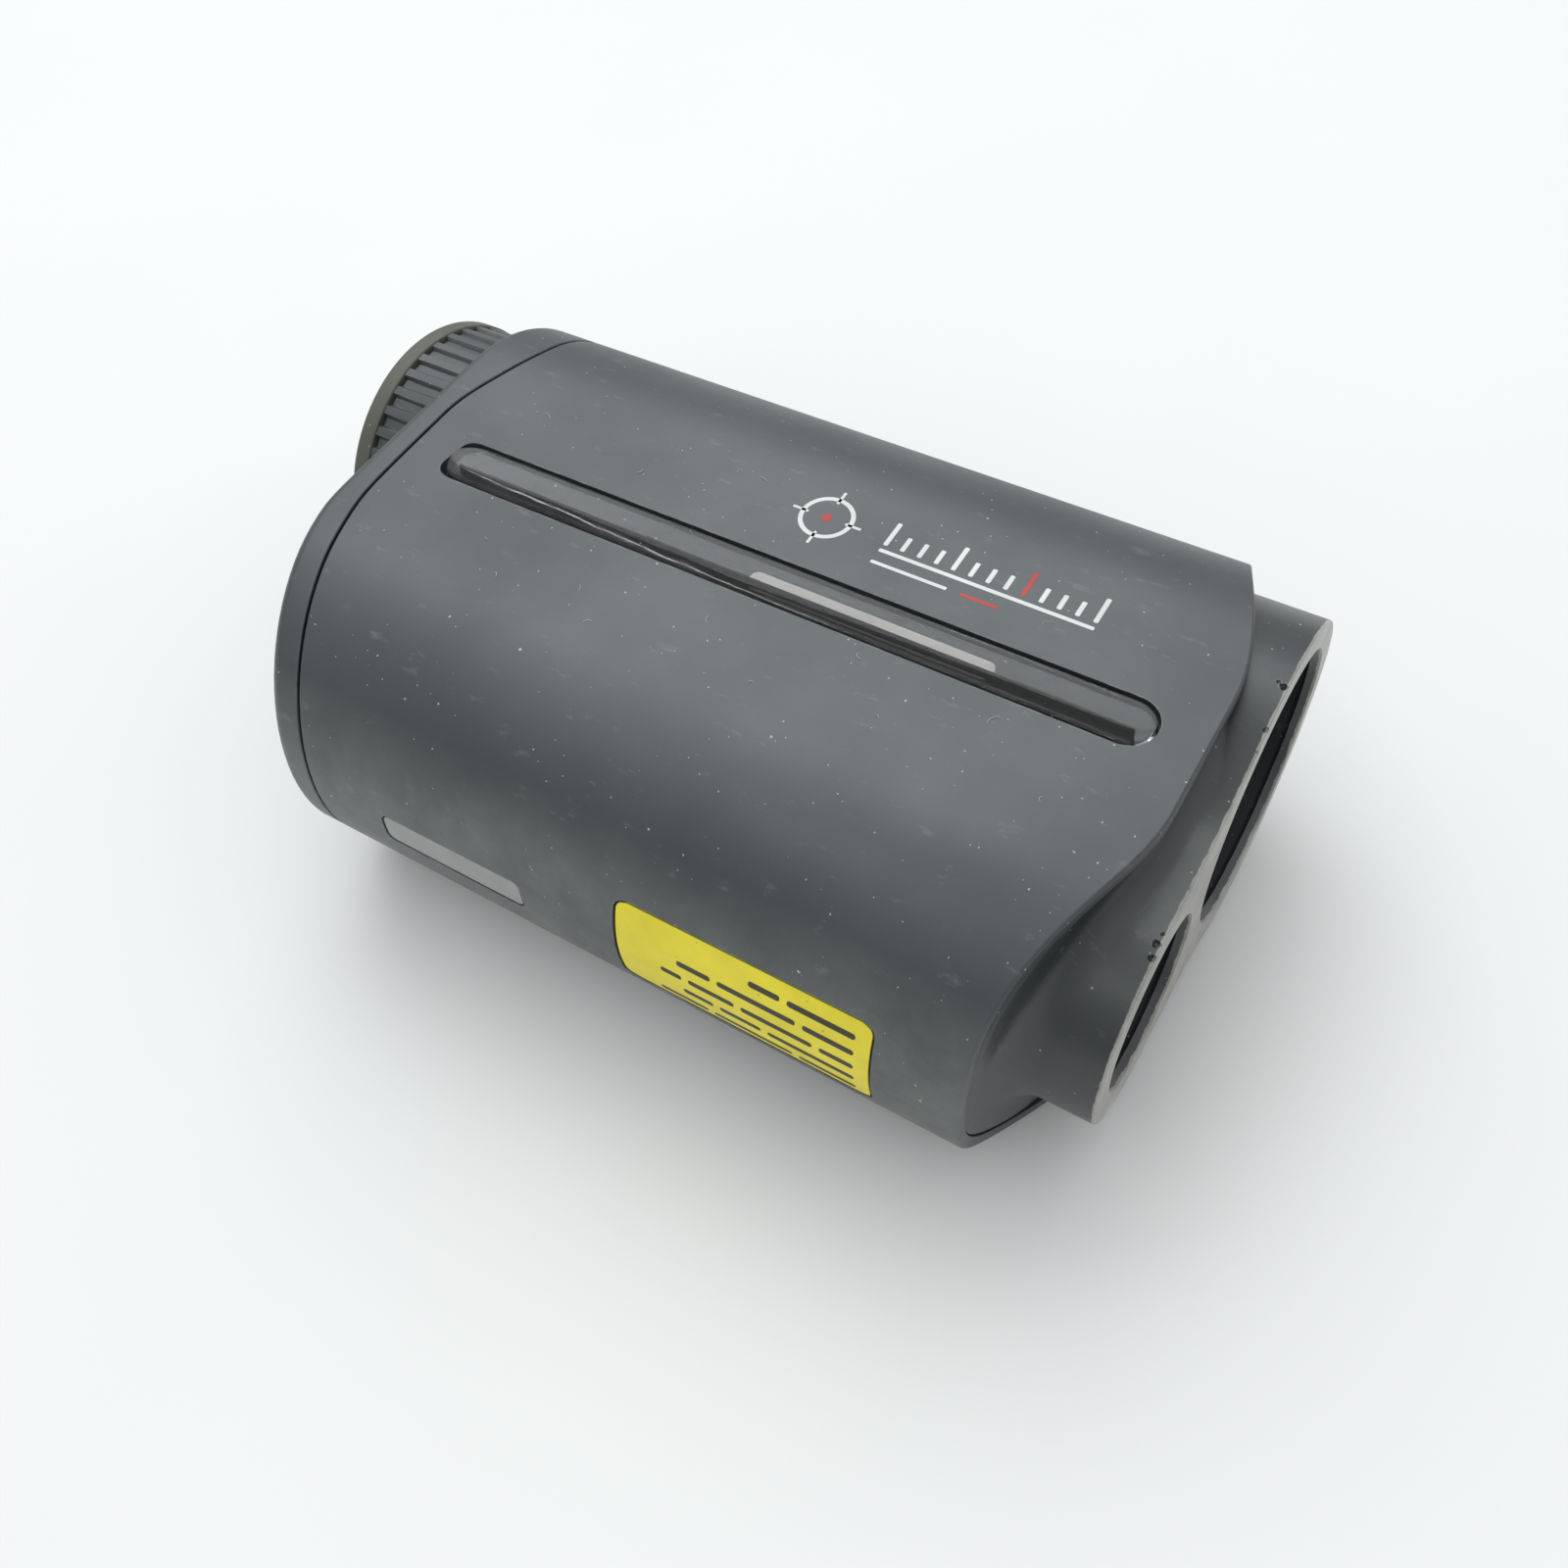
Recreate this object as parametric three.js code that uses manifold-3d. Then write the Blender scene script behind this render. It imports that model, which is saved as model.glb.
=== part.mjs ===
// Hand-held laser rangefinder, lying on its left flat side.
// Millimetres. +X points forward to the objective, +Y to the top in use, +Z to the right side.
import * as THREE from 'three';
import { mergeVertices } from 'three/addons/utils/BufferGeometryUtils.js';
import Module from 'manifold-3d';

const wasm = await Module();
wasm.setup();

// ---------------------------------------------------------------- driving dimensions
const LENGTH = 110;                  // front rim to the end of the eyecup
const HEIGHT = 69.2;                 // top in use to bottom
const THICKNESS = 39.3;              // left flat to right flat
const MID_Z = THICKNESS / 2;
const END_R = MID_Z;                 // top and bottom ends are full rounds
const FLAT = HEIGHT / 2 - END_R;     // half height of the flat sides
const WALL = 2.0;
const GAP = 0.3;                     // clearance between neighbours
const SKIRT_R = END_R - WALL - 0.4;  // plugs that enter the sleeve

const OBJECTIVE_Y = 13.5;            // axis of the viewing objective
const OBJECTIVE_R = 15.1;            // its opening
const RECEIVER_Y = -14.5;            // axis of the receiving lens
const RECEIVER_R = 9.1;
const BARREL_R = 18.1;               // outside of the barrel round the objective
const SMALL_BARREL_R = 12.9;         // outside of the barrel round the receiver
const SEAT_X = -22;                  // back of the front frame

const EYE_Y = 15.4;                  // axis of the eyepiece
const EYECUP_R = 17.2;
const EYECUP_DEPTH = 2.4;
const RIBS = 40;
const RIB_R = 17.0;
const RIB_DEPTH = 0.8;
const TUBE_R = 14.0;                 // fixed eyepiece tube
const TUBE_BORE = 12.4;
const TUBE_FRONT = -90;
const REAR_X = -99.3;                // rear face at mid height
const REAR_SLOPE = 0.335;            // slant of the lower half of the rear face
const REAR_BEND_Y = -11.5;           // where the slant starts
const REAR_WALL = 2.2;
const SKIRT_DEPTH = 4;               // how far the rear cover reaches into the sleeve
const SKIRT_WALL = 1.4;

const STRIP = { rear: -90.2, front: -8.4, y: 0.3, width: 5.2, depth: 1.2, crown: 0.4 };
const DIFFUSER = { rear: -51.6, front: -24.4, width: 2.2 };
// Labels on the lower round; their angles count from its lowest line towards the right side.
const YELLOW = { rear: -47.2, front: -19.1, from: -12, to: 24.5, depth: 0.6, corner: 1.2 };
const PLATE = { rear: -77.4, front: -59.4, from: -1.5, to: 9.5, depth: 0.6, corner: 0.8 };

const BEZEL = { x: -59, length: 46, width: 13 };
const BEZEL_UNDER = 30.4;            // flat underside of the bezel
const MEASURE = { x: -49, length: 19, width: 8.4 };
const MODE = { x: -72, length: 9, width: 8.4 };
const BUTTON_PROUD = 0.8;

const BATTERY_Y = -21.5;             // centre of the battery cap on the slanted face
const BATTERY_TILT = Math.atan(REAR_SLOPE);
const BATTERY_R = 7.8;
const BATTERY_START = 5.3;           // depth of its near end below the rear face
const BATTERY_END = BATTERY_START + 27;
const CAP_R = 10.5;
const CAP_DEPTH = 3.2;

const OBJECTIVE_LENS = { rear: -16.6, front: -13.4, r: 14.6, rearBulge: 0.5, frontBulge: 1.9 };
const RECEIVER_LENS = { rear: -12.8, front: -10.6, r: 8.7, rearBulge: 0.3, frontBulge: 1.3 };
const EYE_LENS = { rear: -103.6, front: -101.4, r: 10.1, rearBulge: 0.9, frontBulge: 1.4 };
const FIELD_LENS = { rear: -98.2, front: -96.6, r: 10.1, rearBulge: 0.9, frontBulge: 1.2 };

const SCREWS = [[-8, MID_Z + 13.7], [-8, MID_Z - 13.7]];
const SCREW = { head: 1.9, shank: 1, sink: 2.2, depth: 1.5 };
const ROD_R = 1.8;
const ROD_BORE = 1.3;                // clear of the screw shank

const CHASSIS = { rear: -88, front: -26, low: 0, high: 25.2, left: 7.4, right: 31.9, wall: 2 };
const LASER = { x: -54, r: 3.5 };
const BUTTON_FOOT = 29;              // underside of the button flanges
const BUTTON_BOARD = [25.6, 26.3];
const SPEAKER = { x: -75, y: 8, r: 9, hole: 0.6, pitch: 3 };

const ROUND = 40;                    // facets round the large turned pieces
const FINE = 16;                     // and round the small ones

// ---------------------------------------------------------------- materials
const finishes = {
  body: { color: 0x2b2e2f, roughness: 0.62, metalness: 0 },
  frame: { color: 0x303334, roughness: 0.55, metalness: 0 },
  rubber: { color: 0x333533, roughness: 0.8, metalness: 0 },
  button: { color: 0x3a3d3e, roughness: 0.7, metalness: 0 },
  clear: { color: 0x14181a, roughness: 0.08, metalness: 0 },
  diffuser: { color: 0xb8bab5, roughness: 0.5, metalness: 0 },
  yellow: { color: 0xcfc042, roughness: 0.45, metalness: 0 },
  plate: { color: 0x8e9090, roughness: 0.5, metalness: 0 },
  glass: { color: 0x20303a, roughness: 0.05, metalness: 0 },
  inner: { color: 0x1b1c1d, roughness: 0.7, metalness: 0 },
  board: { color: 0x1f5a34, roughness: 0.5, metalness: 0 },
  metal: { color: 0xb4b6b8, roughness: 0.35, metalness: 1 },
  brass: { color: 0xb08d4a, roughness: 0.35, metalness: 1 },
  cell: { color: 0x9aa0a4, roughness: 0.4, metalness: 0.6 },
};

// ---------------------------------------------------------------- solids
// A closed geometry becomes a solid; faces that point inwards are turned round first.
function solid(geometry, matrix) {
  const shell = geometry.clone();
  if (matrix) shell.applyMatrix4(matrix);
  shell.deleteAttribute('normal');
  shell.deleteAttribute('uv');
  const merged = mergeVertices(shell, 1e-4);
  const points = merged.attributes.position.array;
  const corners = merged.index.array;
  const kept = [];
  let volume = 0;
  for (let i = 0; i < corners.length; i += 3) {
    const [a, b, c] = [corners[i], corners[i + 1], corners[i + 2]];
    if (a === b || b === c || c === a) continue;
    kept.push(a, b, c);
    const [pa, pb, pc] = [a, b, c].map((k) => new THREE.Vector3().fromArray(points, 3 * k));
    volume += pa.dot(pb.cross(pc));
  }
  if (volume < 0) kept.reverse();
  return new wasm.Manifold(new wasm.Mesh({
    numProp: 3,
    vertProperties: new Float32Array(points),
    triVerts: new Uint32Array(kept),
  }));
}

const cut = (body, ...tools) => tools.reduce((left, tool) => left.subtract(tool), body);
const join = (body, ...others) => others.reduce((whole, other) => whole.add(other), body);

function toGeometry(body) {
  const mesh = body.getMesh();
  const geometry = new THREE.BufferGeometry();
  geometry.setAttribute('position', new THREE.BufferAttribute(mesh.vertProperties, 3));
  geometry.setIndex(new THREE.BufferAttribute(mesh.triVerts, 1));
  geometry.computeVertexNormals();
  return geometry;
}

// ---------------------------------------------------------------- prisms and turned shapes
const AXES_X = new THREE.Matrix4().makeBasis(
  new THREE.Vector3(0, 1, 0), new THREE.Vector3(0, 0, 1), new THREE.Vector3(1, 0, 0));
const AXES_Y = new THREE.Matrix4().makeBasis(
  new THREE.Vector3(1, 0, 0), new THREE.Vector3(0, 0, 1), new THREE.Vector3(0, -1, 0));

function prism(shape, depth, segments = 24) {
  return new THREE.ExtrudeGeometry(shape, { depth, bevelEnabled: false, curveSegments: segments });
}

// Outline in (y, z), running from x0 to x1.
function prismX(shape, x0, x1, segments) {
  const place = new THREE.Matrix4().makeTranslation(x0, 0, 0).multiply(AXES_X);
  return solid(prism(shape, x1 - x0, segments), place);
}

// Outline in (x, z), running from y0 to y1.
function prismY(shape, y0, y1, segments) {
  const place = new THREE.Matrix4().makeTranslation(0, y1, 0).multiply(AXES_Y);
  return solid(prism(shape, y1 - y0, segments), place);
}

// Outline in (x, y), running from z0 to z1.
function prismZ(shape, z0, z1, segments) {
  return solid(prism(shape, z1 - z0, segments), new THREE.Matrix4().makeTranslation(0, 0, z0));
}

// Profile of [x, radius] pairs turned round an axis along X through (y, z).
function turned(profile, y, z, segments = ROUND) {
  const points = profile.map(([x, r]) => new THREE.Vector2(r, x));
  const closes = profile[0][1] < 1e-6;
  if (!closes) points.push(points[0].clone());
  const place = new THREE.Matrix4().makeTranslation(0, y, z)
    .multiply(new THREE.Matrix4().makeRotationZ(-Math.PI / 2));
  return solid(new THREE.LatheGeometry(points, segments), place);
}

const rod = (x0, x1, r, y, z, n) => turned([[x0, 0], [x0, r], [x1, r], [x1, 0]], y, z, n);
const ring = (x0, x1, inner, outer, y, z, n) =>
  turned([[x0, inner], [x0, outer], [x1, outer], [x1, inner]], y, z, n);

function box(x0, x1, y0, y1, z0, z1) {
  const geometry = new THREE.BoxGeometry(x1 - x0, y1 - y0, z1 - z0);
  return solid(geometry, new THREE.Matrix4().makeTranslation((x0 + x1) / 2, (y0 + y1) / 2, (z0 + z1) / 2));
}

// ---------------------------------------------------------------- outlines
// Body section in (y, z): two full rounds of radius r joined by straight sides.
function stadium(r) {
  const shape = new THREE.Shape();
  shape.moveTo(FLAT, MID_Z - r);
  shape.absarc(FLAT, MID_Z, r, -Math.PI / 2, Math.PI / 2, false);
  shape.absarc(-FLAT, MID_Z, r, Math.PI / 2, Math.PI * 1.5, false);
  return shape;
}

// Slot with full-round ends, lying along the first axis.
function slot(centre, across, length, width) {
  const r = width / 2;
  const half = length / 2 - r;
  const shape = new THREE.Shape();
  shape.absarc(centre + half, across, r, -Math.PI / 2, Math.PI / 2, false);
  shape.absarc(centre - half, across, r, Math.PI / 2, Math.PI * 1.5, false);
  return shape;
}

function disc(a, b, r) {
  const shape = new THREE.Shape();
  shape.absarc(a, b, r, 0, Math.PI * 2, false);
  return shape;
}

function roundedRectangle(a0, a1, b0, b1, r) {
  const shape = new THREE.Shape();
  shape.absarc(a1 - r, b0 + r, r, -Math.PI / 2, 0, false);
  shape.absarc(a1 - r, b1 - r, r, 0, Math.PI / 2, false);
  shape.absarc(a0 + r, b1 - r, r, Math.PI / 2, Math.PI, false);
  shape.absarc(a0 + r, b0 + r, r, Math.PI, Math.PI * 1.5, false);
  return shape;
}

function smooth(low, high, value) {
  const t = Math.min(Math.max((value - low) / (high - low), 0), 1);
  return t * t * (3 - 2 * t);
}

// Zero below the start and a straight line after it, with a soft bend between.
const ramp = (value, bend) => (value + Math.sqrt(value * value + bend * bend)) / 2;

// Edges of the housing in the side view, as x at a height y.
const sleeveFront = (y) => -3.4 - 6.4 * smooth(7, 33, Math.abs(y));
const partingLine = (y) => -95.7 + 0.33 * ramp(-y - 9.5, 3) + 3.3 * smooth(6, 21, y);
const rearFace = (y) => REAR_X + REAR_SLOPE * ramp(REAR_BEND_Y - y, 2);

// Region between two such edges, with an optional shift of each.
function between(rear, front, rearShift = 0, frontShift = 0, steps = 28) {
  const reach = HEIGHT / 2 + 2;
  const shape = new THREE.Shape();
  for (let i = 0; i <= steps; i += 1) {
    const y = -reach + (2 * reach * i) / steps;
    if (i === 0) shape.moveTo(front(y) + frontShift, y);
    else shape.lineTo(front(y) + frontShift, y);
  }
  for (let i = steps; i >= 0; i -= 1) {
    const y = -reach + (2 * reach * i) / steps;
    shape.lineTo(rear(y) + rearShift, y);
  }
  return shape;
}

const at = (x) => () => x;

// Figure-eight outline of the front barrel in (y, z), with a soft waist.
function barrelOutline() {
  const leave = Math.PI * 2 / 3;
  const y = OBJECTIVE_Y + BARREL_R * Math.cos(leave);
  const z = BARREL_R * Math.sin(leave);
  const h = SMALL_BARREL_R;
  const control = y - (z - h) * Math.tan(leave - Math.PI / 2) * 3;
  const small = RECEIVER_Y + 0.4;
  const shape = new THREE.Shape();
  shape.absarc(OBJECTIVE_Y, MID_Z, BARREL_R, -leave, leave, false);
  shape.quadraticCurveTo(control, MID_Z + h, 2 * control - y, MID_Z + h);
  shape.absarc(small, MID_Z, h, Math.PI / 2, Math.PI * 1.5, false);
  shape.lineTo(2 * control - y, MID_Z - h);
  shape.quadraticCurveTo(control, MID_Z - h, y, MID_Z - z);
  return shape;
}

// ---------------------------------------------------------------- scene
const device = new THREE.Group();
device.position.set(LENGTH / 2, -BUTTON_PROUD / 2, 0);

function add(name, body, finish, parent = device) {
  const mesh = new THREE.Mesh(toGeometry(body), new THREE.MeshStandardMaterial(finishes[finish]));
  mesh.name = name;
  parent.add(mesh);
}

// ---------------------------------------------------------------- housing
function sectorSheet(label, inner, outer, grow) {
  const [left, right] = [label.from, label.to].map((angle) =>
    MID_Z + END_R * Math.sin(THREE.MathUtils.degToRad(angle)));
  const outline = roundedRectangle(label.rear - grow, label.front + grow,
    left - grow, right + grow, label.corner + grow);
  const column = prismY(outline, -HEIGHT / 2 - 1, -FLAT - END_R / 2, 4);
  const tube = ring(label.rear - 2, label.front + 2, inner, outer, -FLAT, MID_Z, 48);
  return column.intersect(tube);
}

function stripOutline(grow) {
  const r = STRIP.width / 2 + grow;
  const [low, high] = [STRIP.y - r, STRIP.y + r];
  const shape = new THREE.Shape();
  shape.absarc(STRIP.front + grow - r, STRIP.y, r, -Math.PI / 2, Math.PI / 2, false);
  shape.lineTo(STRIP.rear - grow + 2.4, high);
  shape.quadraticCurveTo(STRIP.rear - grow + 0.4, high, STRIP.rear - grow + 0.3, high - 1.6);
  shape.lineTo(STRIP.rear - grow, STRIP.y - 1.1);
  shape.quadraticCurveTo(STRIP.rear - grow, low, STRIP.rear - grow + 2.6, low);
  return shape;
}

function mainSleeve() {
  const tube = cut(prismX(stadium(END_R), -99, 0), prismX(stadium(END_R - WALL), -100, 1));
  const trimmed = tube.intersect(prismZ(between(partingLine, sleeveFront, GAP / 2), -1, THICKNESS + 1));
  const stripPocket = prismZ(stripOutline(0.35), THICKNESS - STRIP.depth, THICKNESS + 1, 6);
  const lightSlot = prismZ(slot((DIFFUSER.rear + DIFFUSER.front) / 2, STRIP.y,
    DIFFUSER.front - DIFFUSER.rear + 0.6, DIFFUSER.width + 0.6), THICKNESS - WALL - 1, THICKNESS, 8);
  const buttonOpening = prismY(slot(BEZEL.x, MID_Z, BEZEL.length + 0.6, BEZEL.width + 0.6), 26, 40, 8);
  const labels = [YELLOW, PLATE].map((label) => sectorSheet(label, END_R - label.depth, END_R + 1, 0.25));
  return cut(trimmed, stripPocket, lightSlot, buttonOpening, ...labels, ...speakerGrille());
}

// Small holes in the left side over the speaker.
function speakerGrille() {
  const holes = [];
  for (let i = -2; i <= 2; i += 1) {
    for (let j = -2; j <= 2; j += 1) {
      if (Math.abs(i) + Math.abs(j) > 3) continue;
      const hole = disc(SPEAKER.x + i * SPEAKER.pitch, SPEAKER.y + j * SPEAKER.pitch, SPEAKER.hole);
      holes.push(prismZ(hole, -1, WALL + 1, 3));
    }
  }
  return holes;
}

function frontFrame() {
  const plug = prismX(stadium(SKIRT_R), SEAT_X, 0, 20)
    .intersect(prismZ(between(at(SEAT_X - 1), sleeveFront, 0, -0.5), -1, THICKNESS + 1));
  const barrel = prismX(barrelOutline(), SEAT_X + 6, 0, 20);
  const ahead = barrel.intersect(prismZ(between(sleeveFront, at(1), GAP), -1, THICKNESS + 1));
  const inside = barrel.intersect(prismX(stadium(SKIRT_R), SEAT_X, 1, 20));
  const bores = [
    rod(lensSeat(OBJECTIVE_LENS), 1, OBJECTIVE_R, OBJECTIVE_Y, MID_Z),
    rod(SEAT_X - 1, 1, OBJECTIVE_LENS.r - 1.2, OBJECTIVE_Y, MID_Z),
    rod(lensSeat(RECEIVER_LENS), 1, RECEIVER_R, RECEIVER_Y, MID_Z),
    rod(SEAT_X - 1, 1, RECEIVER_LENS.r - 0.8, RECEIVER_Y, MID_Z),
  ];
  return cut(join(plug, ahead, inside), ...bores);
}

function rearCover() {
  const behind = REAR_X - 1;
  const slice = (r, rear, front) => prismX(stadium(r), behind, SEAT_X)
    .intersect(prismZ(between(rear, front), -1, THICKNESS + 1));
  const rind = slice(END_R, rearFace, (y) => partingLine(y) - GAP / 2);
  const skirt = slice(SKIRT_R, rearFace, (y) => partingLine(y) + SKIRT_DEPTH);
  const hollow = slice(SKIRT_R - SKIRT_WALL, (y) => rearFace(y) + REAR_WALL, at(SEAT_X));
  const eyeBore = rod(behind, TUBE_FRONT, TUBE_R + 0.4, EYE_Y, MID_Z);
  const capBore = solid(toGeometry(rod(-4, 8, CAP_R + 0.35, 0, 0)), batteryPlace());
  const shell = cut(join(rind, skirt), hollow);
  const screwHoles = SCREWS.flatMap(([y, z]) => [
    rod(behind, screwSeat(y), SCREW.sink, y, z, FINE),
    rod(behind, screwSeat(y) + REAR_WALL, ROD_BORE, y, z, FINE),
  ]);
  return cut(shell, eyeBore, capBore, ...screwHoles);
}

const screwSeat = (y) => rearFace(y) + SCREW.depth;
const lensSeat = (glass) => glass.rear - glass.rearBulge - GAP;

// ---------------------------------------------------------------- side light
function stripLens() {
  const bottom = THICKNESS - STRIP.depth + GAP;
  const slab = prismZ(stripOutline(0), bottom, THICKNESS + STRIP.crown, 8);
  const crest = new THREE.Shape();
  const half = STRIP.width / 2;
  crest.moveTo(STRIP.y - half, THICKNESS);
  crest.quadraticCurveTo(STRIP.y, THICKNESS + 2 * STRIP.crown, STRIP.y + half, THICKNESS);
  crest.lineTo(STRIP.y + half, bottom - 1);
  crest.lineTo(STRIP.y - half, bottom - 1);
  return slab.intersect(prismX(crest, STRIP.rear - 1, STRIP.front + 1, 8));
}

function diffuser() {
  const top = THICKNESS - STRIP.depth - 0.05;
  const middle = (DIFFUSER.rear + DIFFUSER.front) / 2;
  const outline = slot(middle, STRIP.y, DIFFUSER.front - DIFFUSER.rear, DIFFUSER.width);
  return prismZ(outline, top - 1.3, top, 8);
}

function lightBoard() {
  const board = box(DIFFUSER.rear - 2, DIFFUSER.front + 2, STRIP.y - 3, STRIP.y + 3, 35.1, 35.9);
  const lamps = [0.17, 0.5, 0.83].map((t) => {
    const x = DIFFUSER.rear + t * (DIFFUSER.front - DIFFUSER.rear);
    return box(x - 1.5, x + 1.5, STRIP.y - 0.9, STRIP.y + 0.9, 35.8, 36.4);
  });
  return join(board, ...lamps);
}

// ---------------------------------------------------------------- buttons
const upperRound = (r) => rod(BEZEL.x - 40, BEZEL.x + 40, r, FLAT, MID_Z, 48);

function buttonBezel() {
  const plug = prismY(slot(BEZEL.x, MID_Z, BEZEL.length, BEZEL.width), BEZEL_UNDER, 40, 8)
    .intersect(upperRound(END_R));
  const flange = prismY(slot(BEZEL.x, MID_Z, BEZEL.length + 4, BEZEL.width + 4), BEZEL_UNDER, 40, 8)
    .intersect(upperRound(END_R - WALL - GAP));
  const holes = [MEASURE, MODE].map((key) =>
    prismY(slot(key.x, MID_Z, key.length + 0.6, key.width + 0.6), 20, 45, 8));
  return cut(join(plug, flange), ...holes);
}

function pushButton(key) {
  const top = HEIGHT / 2 + BUTTON_PROUD;
  const cap = new THREE.ExtrudeGeometry(slot(key.x, MID_Z, key.length - 1.4, key.width - 1.4),
    { depth: 1.5, bevelThickness: 0.6, bevelSize: 0.7, bevelOffset: 0, bevelSegments: 2, curveSegments: 8 });
  const place = new THREE.Matrix4().makeTranslation(0, top - 0.6, 0).multiply(AXES_Y);
  const body = prismY(slot(key.x, MID_Z, key.length, key.width), BUTTON_FOOT + 0.2, top - 1.2, 8);
  const flange = prismY(slot(key.x, MID_Z, key.length + 2, key.width + 2), BUTTON_FOOT, BUTTON_FOOT + 0.8, 8);
  const stem = box(key.x - 1.5, key.x + 1.5, BUTTON_FOOT - 0.1, BUTTON_FOOT + 0.1, MID_Z - 1.5, MID_Z + 1.5);
  return join(solid(cap, place), body, flange, stem);
}

function tactSwitch(key) {
  const foot = BUTTON_BOARD[1] + GAP;
  const base = box(key.x - 3, key.x + 3, foot, foot + 1.1, MID_Z - 3, MID_Z + 3);
  return join(base, prismY(disc(key.x, MID_Z, 1.2), foot + 0.9, foot + 1.5, 8));
}

// ---------------------------------------------------------------- eyepiece
function eyepieceTube() {
  return turned([
    [-107, TUBE_BORE], [-107, TUBE_R], [-95.5, TUBE_R], [-95.5, 15.1], [-94, 15.1], [-94, TUBE_R],
    [TUBE_FRONT, TUBE_R], [TUBE_FRONT, TUBE_BORE],
  ], EYE_Y, MID_Z);
}

function diopterRing() {
  const outline = new THREE.Shape();
  const pitch = (Math.PI * 2) / RIBS;
  for (let i = 0; i < RIBS; i += 1) {
    const angle = i * pitch;
    const corners = [
      [RIB_R - RIB_DEPTH, 0.03], [RIB_R, 0.1], [RIB_R, 0.46], [RIB_R - RIB_DEPTH, 0.53],
    ];
    corners.forEach(([r, t], k) => {
      const y = EYE_Y + r * Math.cos(angle + t * pitch);
      const z = MID_Z + r * Math.sin(angle + t * pitch);
      if (i === 0 && k === 0) outline.moveTo(y, z);
      else outline.lineTo(y, z);
    });
  }
  const back = -LENGTH + EYECUP_DEPTH + GAP;
  const front = REAR_X - 0.4;
  return cut(prismX(outline, back, front), rod(back - 1, front + 1, TUBE_R + 0.4, EYE_Y, MID_Z));
}

function eyecup() {
  const end = -LENGTH;
  return turned([
    [end, 11.6], [end, EYECUP_R - 0.5], [end + 0.5, EYECUP_R], [end + EYECUP_DEPTH, EYECUP_R],
    [end + EYECUP_DEPTH, 11.2], [end + 1.2, 11.2],
  ], EYE_Y, MID_Z);
}

function ocularCell() {
  return turned([
    [-105.4, 10.4], [-105.4, 12], [-93, 12], [-93, 9], [-94, 9], [-94, 10.4],
  ], EYE_Y, MID_Z);
}

// Lens with a straight edge and two domed faces.
function lens(glass, y, segments = 32) {
  const dome = (x, bulge) => [0, 0.5, 1].map((t) => [x + bulge * (1 - t * t), glass.r * t]);
  const profile = [...dome(glass.rear, -glass.rearBulge), ...dome(glass.front, glass.frontBulge).reverse()];
  return turned(profile, y, MID_Z, segments);
}

// ---------------------------------------------------------------- optics inside
// Box that carries the prism, open to the right and bored for the light paths.
function opticalChassis() {
  const { rear, front, low, high, left, right, wall } = CHASSIS;
  const shell = box(rear, front, low, high, left, right);
  const hollow = box(rear + wall, front - wall, low + wall, high - wall, left + wall, right + 1);
  const eyePath = rod(rear - 1, rear + wall + 1, 11, EYE_Y, MID_Z, FINE);
  const objectivePath = rod(front - wall - 1, front + 1, 12, OBJECTIVE_Y, MID_Z, FINE);
  const laserPath = prismY(disc(LASER.x, MID_Z, LASER.r + 0.5), low - 1, low + wall + 1, 10);
  return cut(shell, hollow, eyePath, objectivePath, laserPath);
}

function prismBlock() {
  const outline = new THREE.Shape();
  [[-74, 4], [-48, 4], [-42, 10], [-42, 19], [-49, 22.5], [-70, 22.5], [-76, 15]]
    .forEach(([x, y], k) => (k ? outline.lineTo(x, y) : outline.moveTo(x, y)));
  return prismZ(outline, 10.2, 29.2);
}

function laserModule() {
  const body = prismY(disc(LASER.x, MID_Z, LASER.r), -8, CHASSIS.low + CHASSIS.wall + 1, 10);
  const pins = [-1.6, 1.6].map((shift) => {
    const x = LASER.x + shift;
    return box(x - 0.3, x + 0.3, -10, -7.9, MID_Z - 0.3, MID_Z + 0.3);
  });
  return join(body, ...pins);
}

function receiverCone() {
  return turned([
    [-40, 3.6], [-40, 4.6], [-24, 9], [-22.4, 9], [-22.4, 8], [-24, 8],
  ], RECEIVER_Y, MID_Z, 28);
}

function speaker() {
  const basket = disc(SPEAKER.x, SPEAKER.y, SPEAKER.r);
  const magnet = disc(SPEAKER.x, SPEAKER.y, SPEAKER.r / 2);
  return join(prismZ(basket, WALL + 0.4, WALL + 3.2, 16), prismZ(magnet, WALL + 3, WALL + 4.8, 12));
}

function mainBoard() {
  const board = box(-62, -26, -17, 17, 2.5, 3.5);
  const chips = [[-50, 6, 5], [-38, -12, 3.5], [-56, -14, 3]].map(([x, y, half]) =>
    box(x - half, x + half, y - half, y + half, 3.4, 4));
  return join(board, ...chips);
}

// ---------------------------------------------------------------- battery and cap
// Local frame of the battery: +X runs from the slanted rear face into the housing.
function batteryPlace() {
  const x = rearFace(BATTERY_Y);
  return new THREE.Matrix4().makeTranslation(x, BATTERY_Y, MID_Z)
    .multiply(new THREE.Matrix4().makeRotationZ(BATTERY_TILT));
}

function batteryCap() {
  const disc = turned([
    [-0.9, 0], [-0.9, CAP_R - 0.8], [-0.5, CAP_R], [1.3, CAP_R], [1.3, CAP_R - 1.1],
    [2.4, CAP_R - 1.1], [2.4, CAP_R], [CAP_DEPTH, CAP_R], [CAP_DEPTH, 0],
  ], 0, 0);
  const coinSlot = new THREE.Shape();
  coinSlot.absellipse(0, 0, 7.2, 1.1, 0, Math.PI * 2, false, 0);
  return cut(disc, prismX(coinSlot, -2, 0.6, 16));
}

const capSeal = () => ring(1.5, 2.2, CAP_R - 0.95, CAP_R + 0.1, 0, 0);

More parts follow.
